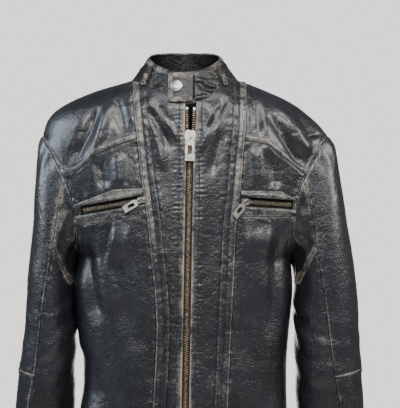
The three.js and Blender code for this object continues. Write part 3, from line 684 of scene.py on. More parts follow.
def split_grid(grid, normals, masks, names, material):
    """One object for each name, from a grid of points and the name of each of its cells."""
    rows, columns = grid.shape[:2]
    points = grid.reshape(-1, 3)
    flat_normals = normals.reshape(-1, 3)
    faces = grid_faces(rows, columns).reshape(-1, 4)
    owner = names.reshape(-1)
    made = {}
    for name in sorted(set(owner) - {""}):
        chosen = face_out(points, faces[owner == name], flat_normals)
        used, index = np.unique(chosen, return_inverse=True)
        made[name] = make_object(
            name + "_fine", points[used], index.reshape(-1, 4), material, flat_normals[used],
            **{key: values.reshape(-1)[used] for key, values in masks.items()},
        )
    return made


def one_name(grid, name):
    return np.full((grid.shape[0] - 1, grid.shape[1] - 1), name, dtype=object)


def place(pieces, body="jacket"):
    for name, piece in pieces.items():
        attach(piece, body)
        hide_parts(name)


def grow(values, rows=0, columns=0, at_end=False):
    """Repeats the first (or last) rows and columns of a mask for a turned-in edge."""
    for axis, count in enumerate((rows, columns)):
        if count:
            extra = np.repeat(np.take(values, [-1 if at_end else 0], axis=axis), count, axis=axis)
            values = np.concatenate([values, extra] if at_end else [extra, values], axis=axis)
    return values


# Rows or columns of points that turn an edge in.
TURN_ROWS = 3


def turn_hem(grid, masks):
    hem = grid[0]
    inward = unit(hem * [1, 1, 0])
    extra = [hem - inward * 3 + [0, 0, 26], hem - inward * 3 + [0, 0, 1], hem - inward * 1.5 - [0, 0, 1.2]]
    return np.concatenate([np.array(extra), grid]), {k: grow(v, rows=TURN_ROWS) for k, v in masks.items()}


def turn_zip_edge(grid, masks):
    edge = grid[:, 0]
    step = unit(edge - grid[:, 1])
    turned = ((2.8, -9), (2.6, -0.2), (1.3, 0.7))
    extra = [edge + [0, back, 0] + step * out for back, out in turned]
    grid = np.concatenate([np.stack(extra, axis=1), grid], axis=1)
    return grid, {k: grow(v, columns=TURN_ROWS) for k, v in masks.items()}


def inside_collar(grid):
    """True for cells well within the collar's seam ring, which the collar band hides."""
    width, depth, middle, _ = COLLAR["bottom"]
    radius = np.hypot(grid[..., 0] / width, (grid[..., 1] - middle) / depth)
    inside = (radius < 0.97) & (grid[..., 2] > -60)
    return inside[:-1, :-1] & inside[1:, 1:]


# Finished surface of each front, which the stitches lie on.
surfaces = {}


def cut_pocket(side, grid, normal, rows, names):
    """Opens the pocket mouth and folds its two edges in."""
    low, high = rows["zip_low"] + TURN_ROWS, rows["zip_high"] + TURN_ROWS
    (ix, _), (ox, _) = POCKET_ZIP[side]
    across = np.abs(grid[low, :, 0])
    first, last = np.searchsorted(across, abs(ix) - 3), np.searchsorted(across, abs(ox) + 2)
    inside = slice(first, last + 1)
    grid[low + 1, inside] = grid[low, inside] - normal[low, inside] * 3.2 + [0, 0, 0.5]
    grid[high - 1, inside] = grid[high, inside] - normal[high, inside] * 3.2 - [0, 0, 0.5]
    names[low + 1:high - 1, first:last] = ""


def build_front(side, material):
    grid, rows = front_grid(side)
    relief = front_relief(side, grid)
    normal = side_normals(grid, grid_normals(grid), [-1])
    grid = grid + normal * relief.height[..., None]
    surfaces[side] = grid
    names = one_name(grid, f"side_front_{side}")
    names[rows["pocket_bottom"]:] = f"pocket_panel_{side}"
    names[rows["pocket_top"]:] = f"chest_panel_{side}"
    names[rows["yoke"]:] = f"front_yoke_{side}"
    segment = FRONT_COLUMNS[0]
    names[:, np.where(segment[:-1] < 4)[0]] = f"princess_strip_{side}"
    names[:, np.where(segment[:-1] < 2)[0]] = f"centre_front_{side}"
    grid, masks = turn_hem(grid, relief.masks())
    grid, masks = turn_zip_edge(grid, masks)
    names = grow(grow(names, rows=TURN_ROWS), columns=TURN_ROWS)
    cut_pocket(side, grid, grid_normals(grid), rows, names)
    names[inside_collar(grid)] = ""
    return split_grid(grid, grid_normals(grid), masks, names, material)


def build_back(material):
    grid = back_grid()
    relief = back_relief(grid)
    normal = side_normals(grid, grid_normals(grid), [0, -1])
    grid = grid + normal * relief.height[..., None]
    middle = (grid[:-1, :-1] + grid[1:, 1:]) / 2
    names = one_name(grid, "back_centre")
    names[middle[..., 0] > BACK_SEAM_X] = "back_side_left"
    names[middle[..., 0] < -BACK_SEAM_X] = "back_side_right"
    names[middle[..., 2] > BACK_YOKE_Z] = "back_yoke"
    grid, masks = turn_hem(grid, relief.masks())
    names = grow(names, rows=TURN_ROWS)
    names[inside_collar(grid)] = ""
    return split_grid(grid, grid_normals(grid), masks, names, material)


# ---------- sleeves ----------

# How far each ring of a sleeve's outer and inner line lies from SLEEVE, in mm.
SLEEVE_SHIFT = {
    "left": ((0, 3, 5, 8, 14, 17, 14, 10, 8, 7), (0, 0, 0, -1, -3, -4, -3, -2, 0, 0)),
    "right": ((0, -2, -5, -7, -7, -7, -6, -6, -8, -8), (0, 0, -1, -2, -4, -5, -5, -5, -5, -5)),
}
# Ring, counted along SLEEVE, of the seam across the lower sleeve.
ELBOW_K = 6.05
# Diagonal seam of the under sleeve, from (x, z) to (x, z).
UNDERARM_SEAM = [(214, -268), (186, -330)]


def sleeve_tables(side):
    index = np.arange(len(SLEEVE))
    outer, inner = SLEEVE_SHIFT[side]
    columns = [SLEEVE[:, 0] + outer, SLEEVE[:, 1], SLEEVE[:, 2] + inner, SLEEVE[:, 3], SLEEVE[:, 4]]
    return [smooth_table(np.stack([index, column], axis=1)) for column in columns]


def sleeve_points(side, k, angle, inset=0.0):
    """Points of the sleeve before it leans. Angle 0 is the outer line and a quarter turn the front."""
    sign = SIDES[side]
    k = k[:, None]
    out_x, out_z, in_x, in_z, depth = [table(k) for table in sleeve_tables(side)]
    down = np.clip((k - 1) / (len(SLEEVE) - 2), 0, 1)
    cos, sin = np.cos(angle), np.sin(angle)
    centre = np.stack([sign * (out_x + in_x) / 2, -SLEEVE_FORWARD * down, (out_z + in_z) / 2], axis=-1)
    point = np.stack([
        centre[..., 0] + sign * (out_x - in_x) / 2 * cos,
        centre[..., 1] - depth * sin,
        centre[..., 2] + (out_z - in_z) / 2 * cos,
    ], axis=-1)
    top_x, top_z, low_x, low_z, half_depth = SLEEVE[0]
    z0 = (top_z + low_z) / 2 + (top_z - low_z) / 2 * cos
    x0 = armhole_x(z0)
    y0 = np.where(sin > 0, -section(z0, x0, front_depth, 0), section(z0, x0, back_depth, 0))
    seam = np.stack([sign * (x0 + 0.4), y0, z0], axis=-1)
    ring_x = (top_x + low_x) / 2 + (top_x - low_x) / 2 * cos
    first = np.stack([sign * ring_x, -half_depth * sin, z0], axis=-1)
    point = point + (seam - first) * smoothstep(2.6, 0, k)[..., None]
    return point + unit(centre - point) * inset


def sleeve_lean(side, k):
    down = np.clip((k - 1) / (len(SLEEVE) - 2), 0, 1)
    return down[:, None, None] * np.array([SLEEVE_LEAN[side], 0.0, 0.0])


def seam_angles(side, k):
    """Angle of the front sleeve seam on each ring."""
    angle = np.linspace(0.1, np.pi - 0.1, 400)
    point = sleeve_points(side, k, np.repeat(angle[None], len(k), axis=0))
    over = np.abs(point[..., 0]) - sleeve_seam_x(point[..., 2])
    return angle[np.argmax(over < 0, axis=1)]


def sleeve_rows(side, step):
    tables = sleeve_tables(side)
    dense = np.linspace(0, len(SLEEVE) - 1, 2000)
    run = np.concatenate([[0], np.cumsum(np.hypot(np.diff(tables[0](dense)), np.diff(tables[1](dense))))])
    keys = np.interp([0, 0.5, 2.3, ELBOW_K, len(SLEEVE) - 1], dense, run)
    near = [((), (0.8, 1.6, 2.6, 4.0)), ((), ()), ((), ()), (FINE, FINE), ((1.0, 2.4), ())]
    at = [at_places(keys[i:i + 2], spread(keys[i:i + 2], size, near[i:i + 2]))
          for i, size in enumerate((step, 0.6 * step, step, step))]
    at = np.unique(np.concatenate(at))
    return np.interp(at, run, dense), at


def sleeve_grid(side):
    k, run = sleeve_rows(side, 2.6)
    seam = seam_angles(side, k)
    seam = np.convolve(np.pad(seam, 4, mode="edge"), np.ones(9) / 9, mode="valid")
    keys = np.stack([0 * k, seam, 0 * k + np.pi, 2 * np.pi - seam, 0 * k + 2 * np.pi], axis=1)
    radius = 62.0
    fine = tuple(offset / radius for offset in FINE)
    near = [((), ()), (fine, fine), ((), ()), (fine, fine), ((), ())]
    columns = spread([0, 1.45, np.pi, 2 * np.pi - 1.45, 2 * np.pi], 2.7 / radius, near)
    angle = at_places(keys, columns)
    angle[:, -1] = 2 * np.pi
    return sleeve_points(side, k, angle), k, run, angle, columns[0]


def sleeve_folds(relief, down, angle):
    """Creases at the elbow and under the arm, and puckers over the shoulder."""
    grid = relief.grid
    z = grid[..., 2]
    crook = bump(z + 430, 75) * (0.3 + 0.7 * smoothstep(0.5, -0.3, np.cos(angle)))
    slant = z + 24 * np.sin(angle + 0.5)
    relief.height += 1.5 * crook * np.sin(slant / 8.5 + 2.6 * noise(grid, (60, 60, 45), 33))
    armpit = bump(down, 95) * smoothstep(0.2, -0.7, np.cos(angle))
    relief.height += 2.2 * armpit * np.sin(angle * 12 + 2 * noise(grid, 40, 34))
    relief.height += 3.2 * fractal(grid, (55, 55, 80), 35, 2) * smoothstep(12, 80, down)
    head = bump(down, 34) * smoothstep(0.1, 0.6, np.cos(angle))
    relief.height += 0.9 * head * np.sin(angle * 19)


def underarm_seam(relief, under, angle):
    """Diagonal seam of the under sleeve, with a rubbed patch above it."""
    x, z = np.abs(relief.grid[..., 0]), relief.grid[..., 2]
    (start_x, start_z), (end_x, end_z) = UNDERARM_SEAM
    diagonal, _ = line_distance(x, z, UNDERARM_SEAM)
    below = np.sign((x - start_x) * (start_z - end_z) + (z - start_z) * (start_x - end_x))
    relief.seam(diagonal * below, 0.9, 1.0, reach=under)
    relief.rub(0.95 * bump(diagonal, 5) * under)
    patch = under * smoothstep(-185, -215, z) * smoothstep(2, -2, -diagonal * below)
    patch = patch * smoothstep(-340, -300, z) * smoothstep(-0.2, 0.3, np.sin(angle))
    relief.rub(0.5 * patch)


def sleeve_relief(grid, k, run, angle):
    relief = Relief(grid, 14)
    x, z = np.abs(grid[..., 0]), grid[..., 2]
    down = np.repeat(run[:, None], x.shape[1], axis=1)
    relief.hide(91)
    sleeve_folds(relief, down, angle)
    beyond_seam = x - sleeve_seam_x(z)
    under = smoothstep(1, -1, beyond_seam)
    relief.seam(beyond_seam, 1.0, 0.7)
    relief.rub(0.75 * bump(beyond_seam, 6) * smoothstep(-310, -270, z))
    underarm_seam(relief, under, angle)
    relief.seam(down - run[np.argmin(np.abs(k - ELBOW_K))], 0.9, 0.8, reach=1 - under)
    relief.seam(down - 1.5, 0.8, 0.8, lap=0.0, stitch=60)
    relief.height *= smoothstep(0, 4, down)
    relief.height[:, -1] = relief.height[:, 0]
    return relief


def turned_cuff(grid, centre):
    cuff = grid[-1]
    inward = unit(centre - cuff)
    up = unit(grid[-8] - cuff)
    return [cuff + inward * 1.5 - up * 1.2, cuff + inward * 3 + up * 1, cuff + inward * 3 + up * 26]


def closed_normals(grid):
    middle = grid.mean(axis=1, keepdims=True)
    normal = grid_normals(grid, lambda g: g - middle)
    normal[:, -1] = normal[:, 0] = (normal[:, 0] + normal[:, -1]) / 2
    return normal


def build_sleeve(side, material):
    grid, k, run, angle, segment = sleeve_grid(side)
    relief = sleeve_relief(grid, k, run, angle)
    grid = grid + closed_normals(grid) * relief.height[..., None] + sleeve_lean(side, k)
    centre = grid.mean(axis=1)
    tucked = grid[0] + unit(centre[0] - grid[0]) * 3 - [SIDES[side], 0, 0]
    grid = np.concatenate([tucked[None], grid, np.array(turned_cuff(grid, centre[-1]))])
    masks = {key: grow(grow(v, rows=1), rows=3, at_end=True) for key, v in relief.masks().items()}
    names = one_name(grid, f"top_sleeve_{side}")
    names[:, np.isin(segment[:-1], (1, 2))] = f"under_sleeve_{side}"
    pieces = split_grid(grid, closed_normals(grid), masks, names, material)
    for name, piece in pieces.items():
        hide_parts(name)
        blend_sleeve(piece, side)


def blend_sleeve(piece, side):
    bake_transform(piece)


def build_lining(material):
    for side, sign in SIDES.items():
        grid = lining_grid(front_depth, sign, 20.0, 9.0, 11.0)
        names = one_name(grid, f"front_lining_{side}")
        names[inside_collar(grid)] = ""
        place(split_grid(grid, grid_normals(grid), {}, names, material))
        k = np.linspace(1, len(SLEEVE) - 1, 60)
        angle = np.repeat(np.linspace(0, 2 * np.pi, 44)[None], len(k), axis=0)
        sleeve = sleeve_points(side, k, angle, 6.0) + sleeve_lean(side, k)
        names = one_name(sleeve, f"sleeve_lining_{side}")
        for name, piece in split_grid(sleeve, closed_normals(sleeve), {}, names, material).items():
            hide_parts(name)
            blend_sleeve(piece, side)
    grid = lining_grid(back_depth, 1, None, 9.0, 11.0)
    names = one_name(grid, "back_lining")
    names[inside_collar(grid)] = ""
    place(split_grid(grid, grid_normals(grid), {}, names, material))


# ---------- collar ----------

def collar_point(angle, height, offset):
    (bw, bd, by, bz), (tw, td, ty, tz) = COLLAR["bottom"], COLLAR["top"]
    mix = lambda a, b: a + (b - a) * height
    level = lambda c: c[0] + c[1] * np.sin(angle) + c[2] * np.cos(2 * angle)
    return np.stack(np.broadcast_arrays(
        (mix(bw, tw) + offset) * np.cos(angle),
        mix(by, ty) + (mix(bd, td) + offset) * np.sin(angle),
        mix(level(bz), level(tz)),
    ), axis=-1)


# Heights of the seam and the top edge in the middle of the collar's front.
COLLAR_FRONT = (-35, 14.5)


def collar_height(z):
    """Height on the collar's front, from 0 at its seam to 1 at its top edge."""
    low, high = COLLAR_FRONT
    return (z - low) / (high - low)


def collar_angle(x, height, offset=0.0):
    width = COLLAR["bottom"][0] + (COLLAR["top"][0] - COLLAR["bottom"][0]) * height + offset
    return -np.arccos(x / width)


# Creases of the collar's front: a line of (x, z), how far it rises and how wide it is.
COLLAR_FOLDS = [
    (((20, 3), (32, -4), (48, -9)), 1.7, 3.2),
    (((22, -5), (38, -14), (56, -16)), -1.5, 3.0),
    (((20, -16), (34, -21), (50, -24)), 1.3, 3.0),
    (((-34, 4), (-46, -6)), -1.4, 3.4),
    (((-40, -12), (-58, -20)), 1.5, 3.6),
    (((-62, 0), (-72, -16)), -1.4, 3.4),
]


def patches(grid, broad, fine, share, seed):
    """Uneven wear from 0 to 1.2."""
    wear = 0.55 + 0.9 * fractal(grid, broad, seed) + share * fractal(grid, fine, seed + 1)
    return np.clip(wear, 0, 1.2)


def collar_lift(across, height, front):
    """How far the front of the collar stands out beside the tab."""
    beside_tab = across - TAB["right"]
    lift = (3.0 + 2.2 * smoothstep(1.1, 1.9, beside_tab)) * smoothstep(62, 22, across)
    lift = lift * (beside_tab > 0.2) * front
    return lift * smoothstep(0.0, 0.05, height) * (height < 1.0)


def collar_relief(grid, height, front):
    """Height over the smooth collar, with its wear mask and its painted groove shade mask."""
    crease = (1 - np.abs(noise(grid, (19, 19, 9), 82))) ** 5
    relief = 1.4 * fractal(grid, (24, 24, 11), 81) - 1.3 * crease
    for line, rise, reach in COLLAR_FOLDS:
        distance, _ = line_distance(grid[..., 0], grid[..., 2], line)
        relief = relief + rise * bump(distance, reach) * front
    middle = smoothstep(0.13, 0.2, height) * smoothstep(0.8, 0.73, height)
    seam = bump(height - 0.8, 0.02) + bump(height - 0.12, 0.02)
    relief = relief * (0.35 + 0.65 * middle) - 0.8 * seam
    bands = np.maximum(0.78 * smoothstep(0.82, 0.86, height), smoothstep(0.1, 0.06, height))
    wear = np.maximum(bands, 0.22 + 0.3 * np.clip(relief, 0, 1)) * patches(grid, 16, 6, 0.3, 16)
    # Painted shade: the seam lines and the creases in the band's middle are darkened in the groove shade
    # mask.
    painted_groove_shade = np.maximum(np.clip(seam, 0, 1) * 0.85, 0.7 * crease * middle)
    return relief, {"wear": wear, "painted_groove_shade": painted_groove_shade}


# Rows of the collar band: height from its seam (0) to its top edge (1), distance outwards.
BAND_FOOT = [(-0.1, -2.4), (-0.08, -0.8), (-0.05, 0.5), (-0.01, 1.0), (0.03, 0.6)]
BAND_TOP = [(0.97, -0.3), (1.0, -1.2), (1.01, -2.6), (1.0, -4.0), (0.96, -5.0)]


def build_collar(leather):
    start = collar_angle(COLLAR_MEETS_X + 0.6, 0.5)
    end = collar_angle(COLLAR_MEETS_X - 0.6, 0.5) + 2 * np.pi
    beside = np.linspace(start, start + 0.3, 60)
    angle = np.concatenate([beside, np.linspace(start + 0.3, end, 250)[1:]])[None, :]
    profile = BAND_FOOT + [(h, 0.0) for h in np.linspace(0.07, 0.93, 24)] + BAND_TOP
    height, offset = np.array(profile).T[:, :, None]
    front = np.sin(angle) < 0
    across = collar_point(angle, height, 0.0)[..., 0]
    grid = collar_point(angle, height, offset + collar_lift(across, height, front))
    relief, masks = collar_relief(grid, height, front)
    grid = grid + grid_normals(grid) * relief[..., None]
    names = one_name(grid, "collar_band")
    place(split_grid(grid, grid_normals(grid), masks, names, leather))
    inner = collar_point(angle, np.linspace(-0.08, 0.96, 14)[:, None], -5.0)
    # Painted shade: the whole inner facing is darkened through the groove shade mask.
    flat = {"wear": 0 * inner[..., 0], "painted_groove_shade": 0 * inner[..., 0] + 0.8}
    names = one_name(inner, "collar_facing")
    place(split_grid(inner, -grid_normals(inner), flat, names, leather))


TAB = {
    "standoff": 3.4, "thickness": 2.2, "left": -26.0, "right": 14.2, "top": 12.0, "bottom": -36.0,
}


def tab_middle():
    """Points halfway through the tab, which follows the curve of the collar."""
    x, z = np.meshgrid(
        TAB["left"] + (TAB["right"] - TAB["left"]) * np.linspace(0, 1, 44),
        TAB["bottom"] + (TAB["top"] - TAB["bottom"]) * np.linspace(0, 1, 46))
    height = collar_height(z)
    middle = TAB["standoff"] + TAB["thickness"] / 2
    (_, bd, by, _), (_, td, ty, _) = COLLAR["bottom"], COLLAR["top"]
    depth = bd + (td - bd) * height + middle
    y = by + (ty - by) * height + depth * np.sin(collar_angle(x, height, middle))
    return np.stack([x, y, z], axis=-1)


def build_tab(leather):
    """Curved tab over the collar's front, with rolled edges and a stitched frame."""
    grid = tab_middle()
    x, z = grid[..., 0], grid[..., 2]
    normal = grid_normals(grid)
    frame_edge = np.minimum.reduce([x - TAB["left"], z - TAB["bottom"], TAB["top"] - z])
    edge = np.minimum(frame_edge, (TAB["right"] - x) * 8)
    roll = np.sqrt(np.clip(1 - (1 - np.clip(edge / 1.6, 0, 1)) ** 2, 0, 1)) * TAB["thickness"] / 2
    stitch = bump(frame_edge - 8, 0.9)
    inside = smoothstep(8, 10, frame_edge)
    wear = np.maximum(1.2 * bump(frame_edge, 2.2), 0.82 - 0.58 * inside)
    wear = wear * patches(grid, 12, 5, 0.4, 18)
    relief = roll - 0.6 * stitch + 0.5 * fractal(grid, 9, 83) * (0.4 + 0.6 * inside)
    front = (grid + normal * relief[..., None]).reshape(-1, 3)
    back = (grid - normal * roll[..., None]).reshape(-1, 3)
    faces = grid_faces(*grid.shape[:2]).reshape(-1, 4)
    flat = normal.reshape(-1, 3)
    faces = np.concatenate([face_out(front, faces, flat), face_out(back, faces, -flat) + len(front)])
    # Painted shade: the frame's stitch groove is darkened on both faces through the groove shade mask.
    masks = {"wear": np.tile(wear.reshape(-1), 2), "painted_groove_shade": np.tile((stitch * 0.85).reshape(-1), 2)}
    points = np.concatenate([front, back])
    tab = make_object("collar_tab_fine", points, faces, leather, **masks)
    place({"collar_tab": tab}, "neck_tab")


SNAP = {"x": -11.6, "z": -12}
# Domed cap of the snap: radius and height above the tab.
SNAP_CAP = [
    (9.0, -0.3), (9.45, 0.25), (9.5, 0.6), (9.3, 1.0), (8.8, 1.3), (8.2, 1.42), (7.6, 1.5),
    (7.0, 1.8), (6.0, 2.15), (4.6, 2.45), (3.0, 2.66), (1.4, 2.76), (0.3, 2.8),
]
SNAP_SIDES = 48


def build_snap_cap(material):
    height = collar_height(SNAP["z"])
    angle = collar_angle(SNAP["x"], height)
    middle = collar_point(angle, height, 0.0)
    along = unit(collar_point(angle + 0.01, height, 0.0) - middle)
    up = collar_point(angle, height + 0.01, 0.0) - middle
    up = unit(up - along * np.dot(up, along))
    out = np.cross(along, up)
    turn = np.linspace(0, 2 * np.pi, SNAP_SIDES, endpoint=False)
    ring = np.cos(turn)[:, None] * along + np.sin(turn)[:, None] * up
    face = TAB["standoff"] + TAB["thickness"] + 0.3
    points = np.concatenate([middle + ring * radius + out * (face + rise) for radius, rise in SNAP_CAP])
    faces = ring_faces(SNAP_SIDES, len(SNAP_CAP))
    place({"snap_cap": make_object("snap_cap_fine", points, faces, material)}, "neck_tab")


# ---------- zips ----------

def merged_copies(name, template, matrices, material):
    """One object made of copies of a small mesh, given as (points, faces)."""
    points, faces = template
    points = np.c_[np.asarray(points, float), np.ones(len(points))]
    all_points = [(points @ np.array(m).T)[:, :3] for m in matrices]
    all_faces = [[i + n * len(points) for i in face] for n in range(len(matrices)) for face in faces]
    obj = make_object(name, np.concatenate(all_points), all_faces, material)
    obj.data.polygons.foreach_set("use_smooth", [False] * len(obj.data.polygons))
    return obj


def rounded_block(width, depth, height, edge):
    """Block with chamfered long edges as (points, faces)."""
    w, d, h, e = width / 2, depth / 2, height / 2, edge
    right = [(w - e, -d), (w, -d + e), (w, d - e), (w - e, d)]
    ring = right + [(-x, y) for x, y in reversed(right)]
    points = []
    for z, shrink in ((-h, 0.82), (-h + e, 1.0), (h - e, 1.0), (h, 0.82)):
        points += [(x * shrink, y * shrink, z) for x, y in ring]
    return points, ring_faces(8, 4)


def axes_matrix(x, y, z, origin):
    """Matrix that takes a small part's own axes to these ones."""
    matrix = np.eye(4)
    matrix[:3] = np.stack([x, y, z, origin], axis=1)
    return matrix


def shifted(x, y, z):
    return axes_matrix([1, 0, 0], [0, 1, 0], [0, 0, 1], [x, y, z])


def zip_matrix():
    z = unit(ZIP_TOP - ZIP_BOTTOM)
    x = unit(np.cross(z, [0, -1, 0]))
    return axes_matrix(x, np.cross(z, x), z, ZIP_TOP)


MAIN_TOOTH_STEP = 3.6
POCKET_TOOTH_STEP = 1.35
STITCH_STEP = 3.6


def build_main_teeth(material):
    """Two rows of teeth that part above the slider, the right one half a step lower."""
    to_zip = zip_matrix()
    tooth = rounded_block(4.2, 2.2, 1.6, 0.35)
    for side, sign in SIDES.items():
        first = -6.0 if sign > 0 else -6.0 - MAIN_TOOTH_STEP / 2
        heights = np.arange(first, -575, -MAIN_TOOTH_STEP)
        parted = 3.9 * smoothstep(-50, -30, heights)
        places = [to_zip @ shifted(sign * (1.35 + gap), 1.55, z) for gap, z in zip(parted, heights)]
        row = merged_copies(f"zip_teeth_{side}_fine", tooth, places, material)
        place({f"zip_teeth_{side}": row})


def on_surface(side, line):
    """Points of the finished front nearest to a line of (x, z), found in its grid of points."""
    grid = surfaces[side]
    found = []
    for x, z in line:
        gap = (grid[..., 0] - x) ** 2 + (grid[..., 2] - z) ** 2
        r, c = np.unravel_index(np.argmin(gap), gap.shape)
        r, c = min(max(r, 1), grid.shape[0] - 2), min(max(c, 1), grid.shape[1] - 2)
        corner = grid[r - 1:r + 2, c - 1:c + 2].reshape(-1, 3)
        weight = 1 / ((corner[:, 0] - x) ** 2 + (corner[:, 2] - z) ** 2 + 0.3) ** 2
        found.append((x, float(np.sum(corner[:, 1] * weight) / weight.sum()), z))
    return np.array(found)


def smooth_front(x, z):
    return np.array([x, -section(z, x, front_depth, 0), z])


def pocket_matrix(side):
    (ix, iz), (ox, oz) = POCKET_ZIP[side]
    start, end = smooth_front(ix, iz), smooth_front(ox, oz)
    middle = ((ix + ox) / 2, (iz + oz) / 2)
    rise = smooth_front(middle[0], middle[1] + 12) - smooth_front(middle[0], middle[1] - 12)
    along = start - end
    outward = unit(np.cross(rise, along) * SIDES[side])
    z = unit(along)
    x = unit(np.cross(z, outward))
    return axes_matrix(x, np.cross(z, x), z, start + outward * 2), np.linalg.norm(along)


def build_pocket_teeth(side, material):
    matrix, length = pocket_matrix(side)
    tooth = rounded_block(4.2, 1.8, 1.15, 0.25)
    heights = np.arange(-1.0, -length, -POCKET_TOOTH_STEP)
    places = [matrix @ shifted(1.35 * (-1) ** i, 1.7, z) for i, z in enumerate(heights)]
    chain = merged_copies(f"pocket_chain_{side}_fine", tooth, places, material)
    place({f"pocket_chain_{side}": chain})


def stitch_lines(side):
    """Lines of (x, z) that the topstitching of one front follows."""
    sign = SIDES[side]
    heights = np.arange(-630, -5, 1.0)
    outer = strip_outer[side](heights)
    lines = []
    for u in (outer - 3.2, outer - STRIP_BAND, outer - STRIP_WIDTH + 3.2, zip_edge(heights) + PLACKET):
        lines.append(np.stack([zip_x(heights) + sign * u, heights], axis=1))
    across = np.arange(100, 200, 1.0)
    for table, shift in ((YOKE_SEAM, 3.2), (YOKE_SEAM, 10.5), (POCKET_TOP, -3.2), (POCKET_BOTTOM, 3.2)):
        lines.append(np.stack([sign * across, seam_curve(table[side], shift)(across)], axis=1))
    return lines


def stitch_places(points):
    """Matrix of each stitch along a line of points on the leather."""
    run = np.concatenate([[0], np.cumsum(np.linalg.norm(np.diff(points, axis=0), axis=1))])
    for at in np.arange(2, run[-1] - 2, STITCH_STEP):
        ends = [np.array([np.interp(at + d, run, points[:, k]) for k in range(3)]) for d in (-1.2, 1.2)]
        middle = (ends[0] + ends[1]) / 2
        z_axis = unit(ends[1] - ends[0])
        out = middle * [1, 1, 0]
        y_axis = unit(out - z_axis * np.dot(out, z_axis))
        yield axes_matrix(np.cross(y_axis, z_axis), y_axis, z_axis, middle + y_axis * 0.15)


def build_stitches(material):
    """Thread of the topstitching on the fronts, one short rounded block for each stitch."""
    stitch = rounded_block(0.75, 0.6, 2.6, 0.2)
    for side in SIDES:
        places = []
        for line in stitch_lines(side):
            points = on_surface(side, [(x, z) for x, z in line[::3] if abs(x) < edge_x(z) - 4])
            places += stitch_places(points)
        thread = merged_copies(f"topstitching_{side}", stitch, places, material)
        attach(thread, "jacket")


# ---------- materials ----------

class Look:
    """A material being built, with short ways to add its nodes and join them."""

    def __init__(self, name):
        self.material = bpy.data.materials.new(name)
        self.material.use_nodes = True
        self.tree = self.material.node_tree
        self.shader = self.tree.nodes["Principled BSDF"]
        self.link = self.tree.links.new

    def add(self, kind, **settings):
        """New node. Each setting is the value of an input or else a property of the node."""
        node = self.tree.nodes.new(kind)
        for key, value in settings.items():
            if key in node.inputs:
                node.inputs[key].default_value = value
            else:
                setattr(node, key, value)
        return node

    def texture(self, kind, output="Fac", **settings):
        """Output of a texture laid out in the piece's own coordinates."""
        node = self.add(kind, **settings)
        self.link(self.add("ShaderNodeTexCoord").outputs["Object"], node.inputs["Vector"])
        return node.outputs[output]

    def ramp(self, source, stops):
        node = self.add("ShaderNodeValToRGB")
        elements = node.color_ramp.elements
        for element, (position, colour) in zip(elements, stops):
            element.position = position
            element.color = (*colour, 1)
        self.link(source, node.inputs["Fac"])
        return node.outputs["Color"]

    def scaled(self, source, factor, offset):
        """source * factor + offset, where the offset is a number or another output."""
        node = self.add("ShaderNodeMath", operation="MULTIPLY_ADD")
        self.link(source, node.inputs[0])
        node.inputs[1].default_value = factor
        if isinstance(offset, float):
            node.inputs[2].default_value = offset
        else:
            self.link(offset, node.inputs[2])
        return node.outputs[0]

    def map_range(self, source, low, high, to_low=0.0, to_high=1.0):
        """Takes low..high to to_low..to_high and stops at both ends."""
        node = self.add("ShaderNodeMapRange")
        self.link(source, node.inputs["Value"])
        limits = {"From Min": low, "From Max": high, "To Min": to_low, "To Max": to_high}
        for key, value in limits.items():
            node.inputs[key].default_value = value
        return node.outputs["Result"]

    def blend(self, share, first, second):
        """Colour between two others, each an output or a plain colour."""
        node = self.add("ShaderNodeMix", data_type="RGBA")
        self.link(share, node.inputs["Factor"])
        for key, colour in (("A", first), ("B", second)):
            if isinstance(colour, tuple):
                node.inputs[key].default_value = (*colour, 1)
            else:
                self.link(colour, node.inputs[key])
        return node.outputs["Result"]

    def roughen(self, layers):
        """Fine relief on the shader, from layers of (output, strength, distance)."""
        normal = None
        for source, strength, distance in layers:
            node = self.add("ShaderNodeBump", Strength=strength, Distance=distance)
            self.link(source, node.inputs["Height"])
            if normal:
                self.link(normal, node.inputs["Normal"])
            normal = node.outputs["Normal"]
        self.link(normal, self.shader.inputs["Normal"])


# Painted shade colour for seams, stitch rows and creases.
PAINTED_SHADE_COLOUR = (0.003, 0.003, 0.003)


